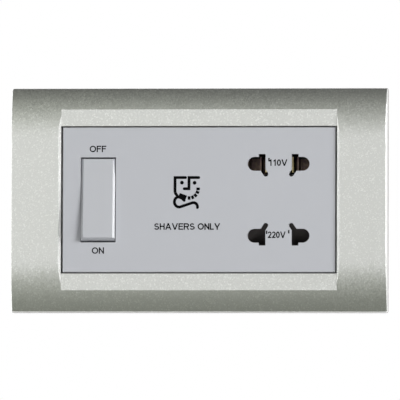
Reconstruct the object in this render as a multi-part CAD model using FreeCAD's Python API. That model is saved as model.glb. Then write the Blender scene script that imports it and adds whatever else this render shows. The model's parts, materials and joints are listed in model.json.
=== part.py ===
"""Shaver supply socket on a two-gang wall plate, with its switch, outlets and isolating transformer.

Units are millimetres. X runs to the right, Y into the wall and Z up. The origin is the middle of the wall
plane, midway between the two box screws. What stands in front of the wall has a negative Y.
"""
import FreeCAD
import Part
import math
import os
from FreeCAD import Vector

# Wall plate outline and its levels in front of the wall
PLATE_W = 146.0
PLATE_H = 87.0
PLATE_CORNER_R = 0.75
RIM_T = 2.5
RIM_STEP = 0.15
FRAME_PROUD = 10.5
LAND_DROP = 1.7
FASCIA_SINK = 0.3

# Arched face frame
ARCH_SPAN = 19.9
ARCH_R = 39.0
FRAME_WALL = 2.2
FRAME_DRAFT = 0.2
FRAME_CORNER_R = 0.6
FRAME_EDGE_R = 0.5
LAND_T = 2.0
RECESS_FLARE = 1.0
FLANK_W = 19.55
WINDOW_H = 57.1

# Clips that hold the face frame on the mounting frame
CLIP_EDGE = 6.5
CLIP_Z = 26.0
CLIP_T = 1.6
CLIP_W = 8.0
CLIP_BARB = 0.5
CLIP_SLACK = 0.3
CLIP_END_GAP = 0.5

# Screws into the wall box
BOX_SCREW_EDGE = 12.7
BOX_HOLE_R = 2.1
BOX_SINK_R = 3.9
BOX_SINK_DEPTH = 1.5

# Grey module front
FASCIA_GAP = 0.5
FASCIA_SIDE_GAP = 0.6
FASCIA_T = 2.4
FASCIA_WALL = 1.6
FASCIA_EDGE_R = 0.35
STAKE_R = 1.2
STAKE_LENGTH = 2.6
STAKE_EAR_T = 1.6
STAKE_EAR_R = 2.4
FIT = 0.05
SEAT_GAP = 0.15

# Rear housing
FLANGE_T = 1.6
FLANGE_LIP = 2.4
HOUSING_INSET = 0.8
HOUSING_WALL = 1.8
HOUSING_CORNER_R = 2.5
HOUSING_BACK_R = 1.2
HOUSING_DEEP = 38.0
SHOULDER_DEEP = 21.0
SHOULDER_W = 22.0
OPENING_SLACK = 0.3
SNAP_W = 9.0
SNAP_EDGE = 21.0
SNAP_CATCH = 1.1
SNAP_LEDGE_T = 1.3
SNAP_SLIT = 0.9
SNAP_END_GAP = 0.5
SNAP_LENGTH = 8.0

# Screws that hold the module together
BOSS_R = 2.8
BOSS_DEEP = 4.0
PILOT_R = 1.25
PILOT_DEPTH = 8.0
WELL_R = 2.7
WELL_WALL = 0.8
SEAT_T = 2.0
SCREW_HEAD_R = 2.4
SCREW_HEAD_T = 1.8
SCREW_LENGTH = 9.0
SCREW_SLOT_W = 0.7
SCREW_SLOT_DEPTH = 0.8
SCREW_SLACK = 0.4

# Rocker and its well in the fascia
ROCKER_EDGE = 13.8
ROCKER_WELL_W = 13.6
ROCKER_WELL_H = 32.9
ROCKER_GAP = 0.25
ROCKER_PROUD = 1.6
ROCKER_TILT = 6.0
ROCKER_CHAMFER = 0.85
ROCKER_SKIN = 1.5
ROCKER_HEEL = 3.2
ROCKER_HEEL_HALF = 3.9
PIVOT_BEHIND_FACE = 3.6
TRUNNION_R = 1.5
TRUNNION_LENGTH = 1.0
WELL_SIDE_WALL = 1.1
WELL_SIDE_DEEP = 4.6
STEM_R = 3.0
STEM_LENGTH = 3.5
PLUNGER_R = 1.9
PLUNGER_TIP_R = 1.1
PLUNGER_REACH = 12.0
PLUNGER_LENGTH = 9.0
PLUNGER_TIP_GAP = 0.15

# Switch contacts
SWITCH_WALL = 1.0
SWITCH_FLOOR_T = 1.8
SWITCH_DEPTH = 19.0
SEESAW_HALF_LENGTH = 9.0
SEESAW_W = 4.4
SEESAW_T = 0.8
SEESAW_TILT = 8.0
SEESAW_EAR_R = 0.6
SEESAW_EAR_REACH = 4.6
SEESAW_EAR_ROOT = 0.4
CONTACT_Z = 7.8
CONTACT_R = 1.3
CONTACT_T = 0.8
CONTACT_GAP = 0.15
CRADLE_X = 3.4
CRADLE_T = 0.8
CRADLE_W = 5.0
CRADLE_LIP = 0.9
STRIP_T = 0.8
STRIP_W = 4.0
TAIL_W = 2.2
TAIL_T = 0.6
TAIL_OUT = 2.4

# Outlets
OUTLET_EDGE = 22.05
OUTLET_Z = 13.9
PIN_X = 9.3
PIN_HOLE_R = 2.7
BLADE_IN = 5.05
BLADE_OUT = 7.7
BLADE_REACH = 3.8
ANGLED_W = 1.9
ANGLED_FROM = (6.6, 1.5)
ANGLED_TO = (4.95, 4.0)

# Contact carrier behind the outlets
CARRIER_W = 28.0
CARRIER_H = 38.4
CARRIER_DEEP = 13.4
CLIP_WELL_FLOOR = 12.0
CHAMBER_DEEP = 4.9
CLIP_WELL_IN = 3.6
CLIP_WELL_OUT = 12.45
CLIP_WELL_HALF_H = 4.1
LEAF_T = 0.45
LEAF_INNER_X = 5.3
LEAF_MIDDLE_X = 7.0
LEAF_OUTER_X = 11.75
LEAF_HALF_H = 3.0
UPPER_LEAF_LENGTH = 14.9
LOWER_LEAF_LENGTH = 6.6
LEAF_FLARE = 0.35
LEAF_FLARE_LENGTH = 1.4
SOLDER_X = 6.4
BUSBAR_T = 0.6
BUSBAR_W = 4.2

# Shutter of the lower outlet
SHUTTER_W = 24.6
SHUTTER_TRAVEL = 9.4
SHUTTER_HEADROOM = 1.1
SHUTTER_TOP_Z = -9.1
SHUTTER_BOTTOM_Z = -18.4
SHUTTER_FRONT_GAP = 0.2
SHUTTER_RAMP_DEPTH = 7.6
SHUTTER_T = 2.0
SHUTTER_CHEEK_T = 0.35
SHUTTER_LUG_W = 4.4
SHUTTER_LUG_T = 2.4
SPRING_R = 1.5
SPRING_WIRE_R = 0.25
PLUNGER_SPRING_TURNS = 5
SHUTTER_SPRING_TURNS = 9
WIRE_SIDES = 6
SPRING_SEAT_GAP = 0.1

# Transformer
CORE_SIDE_GAP = 1.6
CORE_W = 48.0
CORE_H = 40.0
CORE_STACK = 14.0
CORE_BACK_GAP = 7.9
YOKE_H = 8.0
CORE_CORNER = 1.0
BOBBIN_SLACK = 0.15
BOBBIN_WALL = 0.8
BOBBIN_FLANGE_T = 1.0
BOBBIN_FLANGE_OVER = 0.5
PRIMARY_SHARE = 0.52
COIL_GAP = 0.75
WINDING_CORNER_R = 1.6
CUTOUT_W = 15.0
CUTOUT_H = 6.4
CUTOUT_T = 3.6
STRAP_MARGIN = 1.0
STRAP_T = 0.8
STRAP_FOOT = 4.4
STRAP_BOSS_R = 2.3
STRAP_BOSS_H = 2.4
STRAP_SCREW_R = 1.0
STRAP_HEAD_R = 1.9
STRAP_HEAD_T = 1.2
STRAP_SCREW_DEPTH = 3.2
SUPPORT_RIB_T = 1.8

# Vent slots in the housing round the transformer
VENT_COUNT = 8
VENT_PITCH = 4.2
VENT_W = 1.6
VENT_SIDE_LENGTH = 15.0
VENT_BACK_LENGTH = 24.0

# Supply terminals on the rear shoulder
TERMINAL_EDGE = 11.4
TERMINAL_PITCH = 13.0
TERMINAL_BLOCK_W = 17.0
TERMINAL_BLOCK_H = 41.0
TERMINAL_BLOCK_T = 11.0
TERMINAL_BASE_T = 2.0
PILLAR_W = 7.6
PILLAR_H = 6.6
PILLAR_T = 8.0
PILLAR_SLACK = 0.15
WIRE_HOLE_R = 1.65
WIRE_HOLE_LEVEL = 2.9
WIRE_ENTRY_R = 2.3
CLAMP_SCREW_R = 1.25
CLAMP_HEAD_R = 2.1
CLAMP_HEAD_T = 1.6
CLAMP_TAIL_DEEP = 4.5

# Below this, two lengths count as equal
TINY = 1e-5

# Levels along Y that several pieces share
Y_RIM = -RIM_T
Y_FRAME = -FRAME_PROUD
Y_LAND = Y_FRAME + LAND_DROP
Y_FASCIA = Y_LAND + FASCIA_SINK
Y_FASCIA_BACK = Y_FASCIA + FASCIA_T
Y_FLANGE = Y_RIM - FLANGE_T
Y_PIVOT = Y_FASCIA + PIVOT_BEHIND_FACE
Y_HOUSING_BACK = HOUSING_DEEP - HOUSING_WALL

# Sizes that follow from the ones above
ARCH_FLAT_HALF = PLATE_H / 2 - ARCH_SPAN
WINDOW_W = PLATE_W - 2 * FLANK_W
BOX_SCREW_SPACING = PLATE_W - 2 * BOX_SCREW_EDGE
CLIP_X = PLATE_W / 2 - CLIP_EDGE
FASCIA_W = WINDOW_W - 2 * FASCIA_SIDE_GAP
FASCIA_H = WINDOW_H - 2 * FASCIA_GAP
HOUSING_W = FASCIA_W - 2 * HOUSING_INSET
HOUSING_H = FASCIA_H - 2 * HOUSING_INSET
SHOULDER_X = SHOULDER_W - HOUSING_W / 2
SNAP_X = HOUSING_W / 2 - SNAP_EDGE
ROCKER_X = ROCKER_EDGE - FASCIA_W / 2
OUTLET_X = FASCIA_W / 2 - OUTLET_EDGE
TERMINAL_X = TERMINAL_EDGE - HOUSING_W / 2
BOSS_X = HOUSING_W / 2 - HOUSING_WALL - BOSS_R - SEAT_GAP
BOSS_Z = HOUSING_H / 2 - HOUSING_WALL - BOSS_R - SEAT_GAP
CUP_W = ROCKER_WELL_W + 2 * (WELL_SIDE_WALL + SEAT_GAP + SWITCH_WALL)
CUP_H = ROCKER_WELL_H + 2 * (WELL_SIDE_WALL + SEAT_GAP + SWITCH_WALL)
Y_CUP_BACK = Y_FASCIA_BACK + SWITCH_DEPTH
Y_CUP_FLOOR = Y_CUP_BACK - SWITCH_FLOOR_T
Y_SEESAW = Y_PIVOT + PLUNGER_REACH + PLUNGER_TIP_GAP + SEESAW_T / 2
Y_CORE_BACK = Y_HOUSING_BACK - CORE_BACK_GAP
Y_CORE_FRONT = Y_CORE_BACK - CORE_STACK
Y_CORE_MID = Y_CORE_BACK - CORE_STACK / 2
CORE_X = SHOULDER_X + HOUSING_WALL + CORE_SIDE_GAP + CORE_W / 2
LEG_W = CORE_W / 3
SIDE_LEG_W = LEG_W / 2
WINDOW_SLOT_W = (CORE_W - LEG_W) / 2 - SIDE_LEG_W
WINDOW_SLOT_H = CORE_H - 2 * YOKE_H
CHAMBER_TOP = SHUTTER_TOP_Z + SHUTTER_TRAVEL + SHUTTER_HEADROOM
COIL_ROOM = WINDOW_SLOT_W - BOBBIN_SLACK - BOBBIN_WALL - BOBBIN_FLANGE_OVER - COIL_GAP
STRAP_W = SIDE_LEG_W - 2 * STRAP_MARGIN
STAKE_CUP_Z = CUP_H / 2 + STAKE_EAR_R
STAKE_CARRIER_X = CARRIER_W / 2 + STAKE_EAR_R


def block(x0, x1, y0, y1, z0, z1):
    """A box between two opposite corners."""
    return Part.makeBox(x1 - x0, y1 - y0, z1 - z0, Vector(x0, y0, z0))


def centred(width, height, y0, y1, x=0.0, z=0.0):
    """A box from y0 to y1, centred on (x, z)."""
    return block(x - width / 2, x + width / 2, y0, y1, z - height / 2, z + height / 2)


def rod_y(radius, x, z, y0, y1):
    """A cylinder along Y."""
    return Part.makeCylinder(radius, y1 - y0, Vector(x, y0, z), Vector(0, 1, 0))


def rod_x(radius, y, z, x0, x1):
    """A cylinder along X."""
    return Part.makeCylinder(radius, x1 - x0, Vector(x0, y, z), Vector(1, 0, 0))


def cone_y(r0, r1, x, z, y0, y1):
    """A cone along Y, r0 wide at y0 and r1 wide at y1."""
    return Part.makeCone(r0, r1, y1 - y0, Vector(x, y0, z), Vector(0, 1, 0))


def prism(points, direction):
    """A closed outline of straight lines, extruded."""
    return Part.Face(Part.makePolygon(points + points[:1])).extrude(direction)


def prism_x(outline, x0, x1):
    """An outline of (y, z) points, extruded from x0 to x1."""
    return prism([Vector(x0, y, z) for y, z in outline], Vector(x1 - x0, 0, 0))


def prism_y(outline, y0, y1):
    """An outline of (x, z) points, extruded from y0 to y1."""
    return prism([Vector(x, y0, z) for x, z in outline], Vector(0, y1 - y0, 0))


def prism_z(outline, z0, z1):
    """An outline of (x, y) points, extruded from z0 to z1."""
    return prism([Vector(x, y, z0) for x, y in outline], Vector(0, 0, z1 - z0))


def rounded_wire(width, height, radius, y, x=0.0, z=0.0):
    """A rectangle with round corners in the plane at y."""
    a, b = width / 2, height / 2
    edges = []
    for turn, (cx, cz) in enumerate([(a, b), (-a, b), (-a, -b), (a, -b)]):
        inner = Vector(x + cx - math.copysign(radius, cx), y, z + cz - math.copysign(radius, cz))
        start, stop = turn * math.pi / 2, (turn + 1) * math.pi / 2
        spots = [
            inner + Vector(radius * math.cos(t), 0, radius * math.sin(t))
            for t in (start, (start + stop) / 2, stop)
        ]
        edges.append(Part.Arc(*spots).toShape())
    sides = [
        Part.LineSegment(
            edges[i].Vertexes[-1].Point, edges[(i + 1) % 4].Vertexes[0].Point
        ).toShape()
        for i in range(4)
    ]
    return Part.Wire([edge for pair in zip(edges, sides) for edge in pair])


def rounded_block(width, height, radius, y0, y1, x=0.0, z=0.0):
    """A box with round edges along Y, centred on (x, z)."""
    face = Part.Face(rounded_wire(width, height, radius, y0, x, z))
    return face.extrude(Vector(0, y1 - y0, 0))


def both_sides(make):
    """The pieces that make(side) gives for the left side, -1, and the right side, 1."""
    return [make(side) for side in (-1, 1)]


def corners(x, z):
    """The four points (x, z) about the middle."""
    return [(sx * x, sz * z) for sx in (-1, 1) for sz in (-1, 1)]


def one(shape):
    """The shape's only solid, with faces that continue each other merged."""
    return shape.removeSplitter().Solids[0]


def arch_body(inset, half_width, y_back):
    """What lies behind the arch: its front runs flat over the middle and curves back above and below."""
    top = PLATE_H / 2 + FRAME_WALL
    radius = ARCH_R - inset
    y_flat = Y_FRAME + inset
    y_centre = Y_FRAME + ARCH_R
    reach = top - ARCH_FLAT_HALF

    def on_arc(share, side):
        z = reach * share
        return Vector(-half_width, y_centre - math.sqrt(radius**2 - z**2), side * (ARCH_FLAT_HALF + z))

    def on_flat(side):
        return Vector(-half_width, y_flat, side * ARCH_FLAT_HALF)

    upper = Part.Arc(on_arc(0, 1), on_arc(0.5, 1), on_arc(1, 1)).toShape()
    lower = Part.Arc(on_arc(0, -1), on_arc(0.5, -1), on_arc(1, -1)).toShape()
    back_up = Vector(-half_width, y_back, top)
    back_down = Vector(-half_width, y_back, -top)
    lines = [
        Part.makeLine(on_arc(1, 1), back_up),
        Part.makeLine(back_up, back_down),
        Part.makeLine(back_down, on_arc(1, -1)),
        Part.makeLine(on_flat(-1), on_flat(1)),
    ]
    wire = Part.Wire(Part.sortEdges([upper, lower] + lines)[0])
    return Part.Face(wire).extrude(Vector(2 * half_width, 0, 0))


def frame_outline(y, inset):
    """The face frame's outline at one level, smaller by inset on each side."""
    step = 2 * (RIM_STEP + inset)
    return rounded_wire(PLATE_W - step, PLATE_H - step, FRAME_CORNER_R, y)


def frame_skin():
    """The arched outside of the face frame as one solid, with its front edges rounded."""
    walls = Part.makeLoft([frame_outline(Y_RIM, 0.0), frame_outline(Y_FRAME, FRAME_DRAFT)], True, True)
    skin = walls.common(arch_body(0.0, PLATE_W / 2, Y_RIM))
    rim = [edge for edge in skin.Edges if on_front_rim(edge)]
    return skin.makeFillet(FRAME_EDGE_R, rim)


def on_front_rim(edge):
    """Whether an edge runs round the front of the frame, where the arch meets the outer walls."""
    ends = [vertex.Point for vertex in edge.Vertexes]
    span = ends[-1] - ends[0]
    at_back = abs(ends[0].y - Y_RIM) < TINY and abs(ends[-1].y - Y_RIM) < TINY
    along_depth = abs(span.y) > span.Length / 2
    on_fold = abs(span.z) < TINY and abs(abs(ends[0].z) - ARCH_FLAT_HALF) < TINY
    return not (at_back or along_depth or on_fold)


def frame_clip(side, z):
    """One clip of the face frame: a tab through the mounting frame, with a barb on its outer side."""
    inner, outer = side * (CLIP_X - CLIP_T / 2), side * (CLIP_X + CLIP_T / 2)
    tip = outer + side * CLIP_BARB
    y_end = -CLIP_END_GAP
    outline = [
        (inner, Y_FRAME + FRAME_WALL / 2),
        (outer, Y_FRAME + FRAME_WALL / 2),
        (outer, y_end - 2 * CLIP_BARB),
        (tip, y_end - CLIP_BARB),
        (outer, y_end),
        (inner, y_end),
    ]
    return prism_z(outline, z - CLIP_W / 2, z + CLIP_W / 2)


def face_frame():
    """Arched frame: a hollow shell with a flared recess across it, a window for the module and four clips."""
    inset = 2 * (RIM_STEP + FRAME_WALL)
    inside = centred(PLATE_W - inset, PLATE_H - inset, Y_FRAME, Y_RIM)
    hollow = arch_body(FRAME_WALL, PLATE_W / 2, Y_RIM).common(inside)
    saddle = WINDOW_W + 2 * (RECESS_FLARE + FRAME_WALL)
    hollow = hollow.cut(centred(saddle, PLATE_H, Y_FRAME, Y_LAND + LAND_T))
    half = WINDOW_W / 2
    y_flare = Y_FRAME + RECESS_FLARE
    y_out = Y_FRAME - LAND_DROP
    flare = half + y_flare - y_out
    right = [(half, Y_LAND), (half, y_flare), (flare, y_out)]
    outline = right + [(-x, y) for x, y in reversed(right)]
    recess = prism_z(outline, -PLATE_H / 2, PLATE_H / 2)
    window = centred(WINDOW_W, WINDOW_H, Y_FRAME, Y_RIM)
    shell = frame_skin().cut(hollow).cut(recess).cut(window)
    clips = [frame_clip(side, z) for side in (-1, 1) for z in (-CLIP_Z, CLIP_Z)]
    return one(shell.fuse(clips))


def box_screw_hole(side):
    """A countersunk hole for one screw into the wall box."""
    x = side * BOX_SCREW_SPACING / 2
    sink = cone_y(BOX_SINK_R, BOX_HOLE_R, x, 0, Y_RIM, Y_RIM + BOX_SINK_DEPTH)
    return rod_y(BOX_HOLE_R, x, 0, Y_RIM, 0).fuse(sink)


def clip_slot(side, z):
    """The stepped slot that one clip of the face frame snaps into."""
    inner = CLIP_X - CLIP_T / 2 - CLIP_SLACK
    outer = CLIP_X + CLIP_T / 2 + CLIP_SLACK
    ledge = -CLIP_END_GAP - 2 * CLIP_BARB - CLIP_SLACK / 2
    half = CLIP_W / 2 + CLIP_SLACK
    deep = outer + CLIP_BARB
    x_throat = sorted((side * inner, side * outer))
    x_pocket = sorted((side * inner, side * deep))
    throat = block(*x_throat, Y_RIM, 0, z - half, z + half)
    return throat.fuse(block(*x_pocket, ledge, 0, z - half, z + half))


def snap_rebate(side, up):
    """The rebate in the mounting frame's back that one catch of the housing hooks into."""
    x, half = side * SNAP_X, SNAP_W / 2 + OPENING_SLACK
    z0, z1 = sorted((up * HOUSING_H / 2, up * (HOUSING_H / 2 + SNAP_CATCH + OPENING_SLACK)))
    return block(x - half, x + half, Y_RIM + SNAP_LEDGE_T, 0, z0, z1)


def mounting_frame():
    """Flat frame on the wall: the rim of it shows all round behind the face frame."""
    plate = rounded_block(PLATE_W, PLATE_H, PLATE_CORNER_R, Y_RIM, 0)
    slack = 2 * OPENING_SLACK
    radius = HOUSING_CORNER_R + OPENING_SLACK
    opening = rounded_block(HOUSING_W + slack, HOUSING_H + slack, radius, Y_RIM, 0)
    slots = [clip_slot(side, z) for side in (-1, 1) for z in (-CLIP_Z, CLIP_Z)]
    rebates = [snap_rebate(side, up) for side in (-1, 1) for up in (-1, 1)]
    return one(plate.cut([opening] + both_sides(box_screw_hole) + slots + rebates))


def aperture(side, up, y0, y1):
    """One pin hole of an outlet: a round pin's slot, an upright blade's slot and an angled blade's slot.

    side is -1 for the left pin and 1 for the right. up is 1 where the upright slot reaches up, and -1
    where it reaches down.
    """
    z = up * OUTLET_Z

    def at(x):
        return OUTLET_X + side * x

    def span(a, b):
        return sorted((a, b))

    round_end = rod_y(PIN_HOLE_R, at(PIN_X), z, y0, y1)
    slot = block(*span(at(BLADE_IN), at(PIN_X)), y0, y1, z - PIN_HOLE_R, z + PIN_HOLE_R)
    heights = span(z - up * PIN_HOLE_R, z + up * BLADE_REACH)
    blade = block(*span(at(BLADE_IN), at(BLADE_OUT)), y0, y1, *heights)
    start = Vector(at(ANGLED_FROM[0]), 0, z - up * ANGLED_FROM[1])
    stop = Vector(at(ANGLED_TO[0]), 0, z - up * ANGLED_TO[1])
    run = stop - start
    across = Vector(-run.z, 0, run.x).normalize() * (ANGLED_W / 2)
    corner_points = [start + across, stop + across, stop - across, start - across]
    angled = prism_y([(p.x, p.z) for p in corner_points], y0, y1)
    tip = rod_y(ANGLED_W / 2, stop.x, stop.z, y0, y1)
    return one(round_end.fuse([slot, blade, angled, tip]))


def stake_spots():
    """Where the fascia's stakes stand: above and below the switch, and at both sides of the outlets."""
    switch = [(ROCKER_X, side * STAKE_CUP_Z) for side in (-1, 1)]
    outlets = [(OUTLET_X + side * STAKE_CARRIER_X, 0.0) for side in (-1, 1)]
    return switch + outlets


def ears(spots, back=0.0):
    """Flat ears with holes, which the fascia's stakes pass through."""
    y1 = Y_FASCIA_BACK + STAKE_EAR_T + back
    made = []
    for (x, z), (dx, dz) in spots:
        lug = rod_y(STAKE_EAR_R, x, z, Y_FASCIA_BACK, y1)
        width = abs(dx) if dx else 2 * STAKE_EAR_R
        height = abs(dz) if dz else 2 * STAKE_EAR_R
        neck = centred(width, height, Y_FASCIA_BACK, y1, x - dx / 2, z - dz / 2)
        made.append(lug.fuse(neck).cut(rod_y(STAKE_R + FIT, x, z, Y_FASCIA_BACK, y1)))
    return made


def module_fascia():
    """Grey front of the module, with the rocker's well, the pin holes, screw bosses and stakes."""
    plate = centred(FASCIA_W, FASCIA_H, Y_FASCIA, Y_FASCIA_BACK)
    front = [edge for edge in plate.Edges if all(abs(v.Y - Y_FASCIA) < TINY for v in edge.Vertexes)]
    plate = plate.makeFillet(FASCIA_EDGE_R, front)
    inner = 2 * FASCIA_WALL
    skirt = centred(FASCIA_W, FASCIA_H, Y_FASCIA_BACK, Y_FLANGE)
    skirt = skirt.cut(centred(FASCIA_W - inner, FASCIA_H - inner, Y_FASCIA_BACK, Y_FLANGE))
    sides = 2 * WELL_SIDE_WALL
    y_well = Y_FASCIA_BACK + WELL_SIDE_DEEP
    surround = centred(ROCKER_WELL_W + sides, ROCKER_WELL_H + sides, Y_FASCIA_BACK, y_well, ROCKER_X)
    bosses = [rod_y(BOSS_R, x, z, Y_FASCIA_BACK, BOSS_DEEP) for x, z in corners(BOSS_X, BOSS_Z)]
    stakes = [
        rod_y(STAKE_R, x, z, Y_FASCIA_BACK, Y_FASCIA_BACK + STAKE_LENGTH) for x, z in stake_spots()
    ]
    body = plate.fuse([skirt, surround] + bosses + stakes)
    well = centred(ROCKER_WELL_W, ROCKER_WELL_H, Y_FASCIA, y_well, ROCKER_X)
    bearing = rod_x(
        TRUNNION_R + FIT,
        Y_PIVOT,
        0,
        ROCKER_X - ROCKER_WELL_W / 2 - WELL_SIDE_WALL,
        ROCKER_X + ROCKER_WELL_W / 2 + WELL_SIDE_WALL,
    )
    pilots = [
        rod_y(PILOT_R, x, z, BOSS_DEEP - PILOT_DEPTH, BOSS_DEEP) for x, z in corners(BOSS_X, BOSS_Z)
    ]
    holes = [aperture(side, up, Y_FASCIA, Y_FASCIA_BACK) for side in (-1, 1) for up in (-1, 1)]
    return one(body.cut([well, bearing] + pilots + holes))


def housing_snap(side, up):
    """The catch near the free end of one tongue, which hooks into the mounting frame's rebate."""
    x = side * SNAP_X
    z0 = HOUSING_H / 2
    y_hook = Y_RIM + SNAP_LEDGE_T + SEAT_GAP
    outline = [
        (y_hook, z0 - HOUSING_WALL / 2),
        (y_hook, z0 + SNAP_CATCH),
        (-SEAT_GAP, z0 + SNAP_CATCH / 2),
        (-SEAT_GAP, z0 - HOUSING_WALL / 2),
    ]
    return prism_x([(y, up * z) for y, z in outline], x - SNAP_W / 2, x + SNAP_W / 2)


def snap_slits(side, up):
    """The two slits that free one tongue, and the gap in front of its end."""
    x = side * SNAP_X
    z0, z1 = sorted((up * HOUSING_H / 2, up * (HOUSING_H / 2 - HOUSING_WALL)))
    half = SNAP_W / 2
    y_root = Y_RIM + SNAP_LENGTH
    left = block(x - half - SNAP_SLIT, x - half, Y_RIM, y_root, z0, z1)
    right = block(x + half, x + half + SNAP_SLIT, Y_RIM, y_root, z0, z1)
    end = block(x - half, x + half, Y_RIM, Y_RIM + SNAP_END_GAP, z0, z1)
    return left.fuse([right, end])


def housing_envelope(inset, y_front):
    """The stepped box of the housing, smaller by inset: deep at the right, with a shoulder at the left."""
    radius = max(HOUSING_CORNER_R - inset, 0.5)
    width, height = HOUSING_W - 2 * inset, HOUSING_H - 2 * inset
    full = rounded_block(width, height, radius, y_front, HOUSING_DEEP - inset)
    x_step = SHOULDER_X + inset
    spare = block(-HOUSING_W, x_step, SHOULDER_DEEP - inset, HOUSING_DEEP, -HOUSING_H, HOUSING_H)
    return full.cut(spare)


def back_edges(shape):
    """The housing's outer edges that lie in its two back faces."""
    levels = (HOUSING_DEEP, SHOULDER_DEEP)
    picked = []
    for edge in shape.Edges:
        depths = [vertex.Y for vertex in edge.Vertexes]
        flat = max(depths) - min(depths) < TINY
        at_step = all(abs(v.X - SHOULDER_X) < TINY for v in edge.Vertexes) and depths[0] < HOUSING_DEEP - 1
        if flat and min(abs(depths[0] - level) for level in levels) < TINY and not at_step:
            picked.append(edge)
    return picked


def screw_wells(grow=0.0):
    """Columns at the housing's corners, wider by grow, and the bores for the screws and their heads."""
    columns, bores = [], []
    for x, z in corners(BOSS_X, BOSS_Z):
        y_back = SHOULDER_DEEP if x < SHOULDER_X else HOUSING_DEEP
        columns.append(rod_y(WELL_R + WELL_WALL + grow, x, z, BOSS_DEEP, y_back - HOUSING_WALL / 2))
        bores.append(rod_y(WELL_R, x, z, BOSS_DEEP + SEAT_T, y_back))
        bores.append(rod_y(PILOT_R + SCREW_SLACK, x, z, BOSS_DEEP, BOSS_DEEP + SEAT_T))
    return columns, bores


def strap_spots():
    """Where the four feet of the core's straps are screwed down."""
    z = CORE_H / 2 + STRAP_T + STRAP_FOOT / 2
    return [(strap_x(side), up * z) for side in (-1, 1) for up in (-1, 1)]


def strap_x(side):
    """The middle of one strap, across the outer leg of the core."""
    return CORE_X + side * (CORE_W - SIDE_LEG_W) / 2


def vent_slots():
    """What the vent slots take out of the upper, lower and back walls, in rows over the transformer."""
    y0, y1 = Y_CORE_MID - VENT_SIDE_LENGTH / 2, Y_CORE_MID + VENT_SIDE_LENGTH / 2
    slots = []
    for index in range(VENT_COUNT):
        x = CORE_X + (index - (VENT_COUNT - 1) / 2) * VENT_PITCH
        slots.append(centred(VENT_W, HOUSING_H, y0, y1, x))
        slots.append(centred(VENT_W, VENT_BACK_LENGTH, Y_HOUSING_BACK, HOUSING_DEEP, x))
    return slots


def rear_housing():
    """Stepped box behind the wall: a flange, snap tongues, screw wells, transformer rests and vents."""
    shell = housing_envelope(0.0, Y_RIM)
    shell = shell.makeFillet(HOUSING_BACK_R, back_edges(shell))
    flange = rounded_block(
        HOUSING_W + 2 * FLANGE_LIP, HOUSING_H + 2 * FLANGE_LIP, HOUSING_CORNER_R, Y_FLANGE, Y_RIM
    )
    hollow = housing_envelope(HOUSING_WALL, Y_FLANGE)
    columns, bores = screw_wells()
    y_foot = Y_HOUSING_BACK - STRAP_BOSS_H
    strap_bosses = [rod_y(STRAP_BOSS_R, x, z, y_foot, Y_HOUSING_BACK) for x, z in strap_spots()]
    strap_pilots = [
        rod_y(STRAP_SCREW_R, x, z, y_foot, y_foot + STRAP_SCREW_DEPTH) for x, z in strap_spots()
    ]
    rest_x = CORE_W / 2 - SUPPORT_RIB_T / 2
    rest_h = CORE_H - 2 * SUPPORT_RIB_T
    rests = [
        centred(SUPPORT_RIB_T, rest_h, Y_CORE_BACK, Y_HOUSING_BACK, CORE_X + side * rest_x)
        for side in (-1, 1)
    ]
    catches = [housing_snap(side, up) for side in (-1, 1) for up in (-1, 1)]
    slits = [snap_slits(side, up) for side in (-1, 1) for up in (-1, 1)]
    tails = [terminal_tail(index, FIT) for index in range(3)]
    inside = housing_envelope(HOUSING_WALL / 2, Y_RIM)
    columns = [column.common(inside) for column in columns]
    open_shell = shell.fuse(flange).cut(hollow).cut(slits + vent_slots())
    body = open_shell.fuse(columns + strap_bosses + rests + catches)
    return one(body.cut(bores + strap_pilots + tails))


def cap_screw(radius, length, head_r, head_t, x, y, z):
    """A slotted screw along Y: the head's underside is at y, the head lies behind it and the shank before."""
    shank = rod_y(radius, x, z, y - length, y)
    head = rod_y(head_r, x, z, y, y + head_t)
    slot = centred(2 * head_r, SCREW_SLOT_W, y + head_t - SCREW_SLOT_DEPTH, y + head_t, x, z)
    return one(shank.fuse(head).cut(slot))


def housing_screws():
    """The four screws deep in the housing's wells, which pull it against the fascia's bosses."""
    y = BOSS_DEEP + SEAT_T
    return Part.makeCompound(
        [
            cap_screw(PILOT_R, SCREW_LENGTH, SCREW_HEAD_R, SCREW_HEAD_T, x, y, z)
            for x, z in corners(BOSS_X, BOSS_Z)
        ]
    )


def tilted(shape, y, angle):
    """A shape turned about the X direction through (y, 0). A positive angle brings its top forward."""
    turned = shape.copy()
    turned.rotate(Vector(0, y, 0), Vector(1, 0, 0), angle)
    return turned


def rocker_body():
    """The rocker before it is hollowed: a flat face with curved ends that clear the well as it tips."""
    y_face = Y_FASCIA - ROCKER_PROUD
    end_r = ROCKER_WELL_H / 2 - ROCKER_GAP
    half_w = ROCKER_WELL_W / 2 - ROCKER_GAP
    barrel = rod_x(end_r, Y_PIVOT, 0, ROCKER_X - half_w, ROCKER_X + half_w)
    outline = [
        (y_face, -end_r),
        (y_face, end_r),
        (Y_PIVOT, end_r),
        (Y_PIVOT + ROCKER_HEEL, ROCKER_HEEL_HALF),
        (Y_PIVOT + ROCKER_HEEL, -ROCKER_HEEL_HALF),
        (Y_PIVOT, -end_r),
    ]
    body = barrel.common(prism_x(outline, ROCKER_X - half_w, ROCKER_X + half_w))
    edges = [
        edge
        for edge in body.Edges
        if all(abs(v.Y - y_face) < TINY for v in edge.Vertexes)
        and abs(edge.Vertexes[0].X - edge.Vertexes[-1].X) < TINY
    ]
    return body.makeChamfer(ROCKER_CHAMFER, edges)


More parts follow.
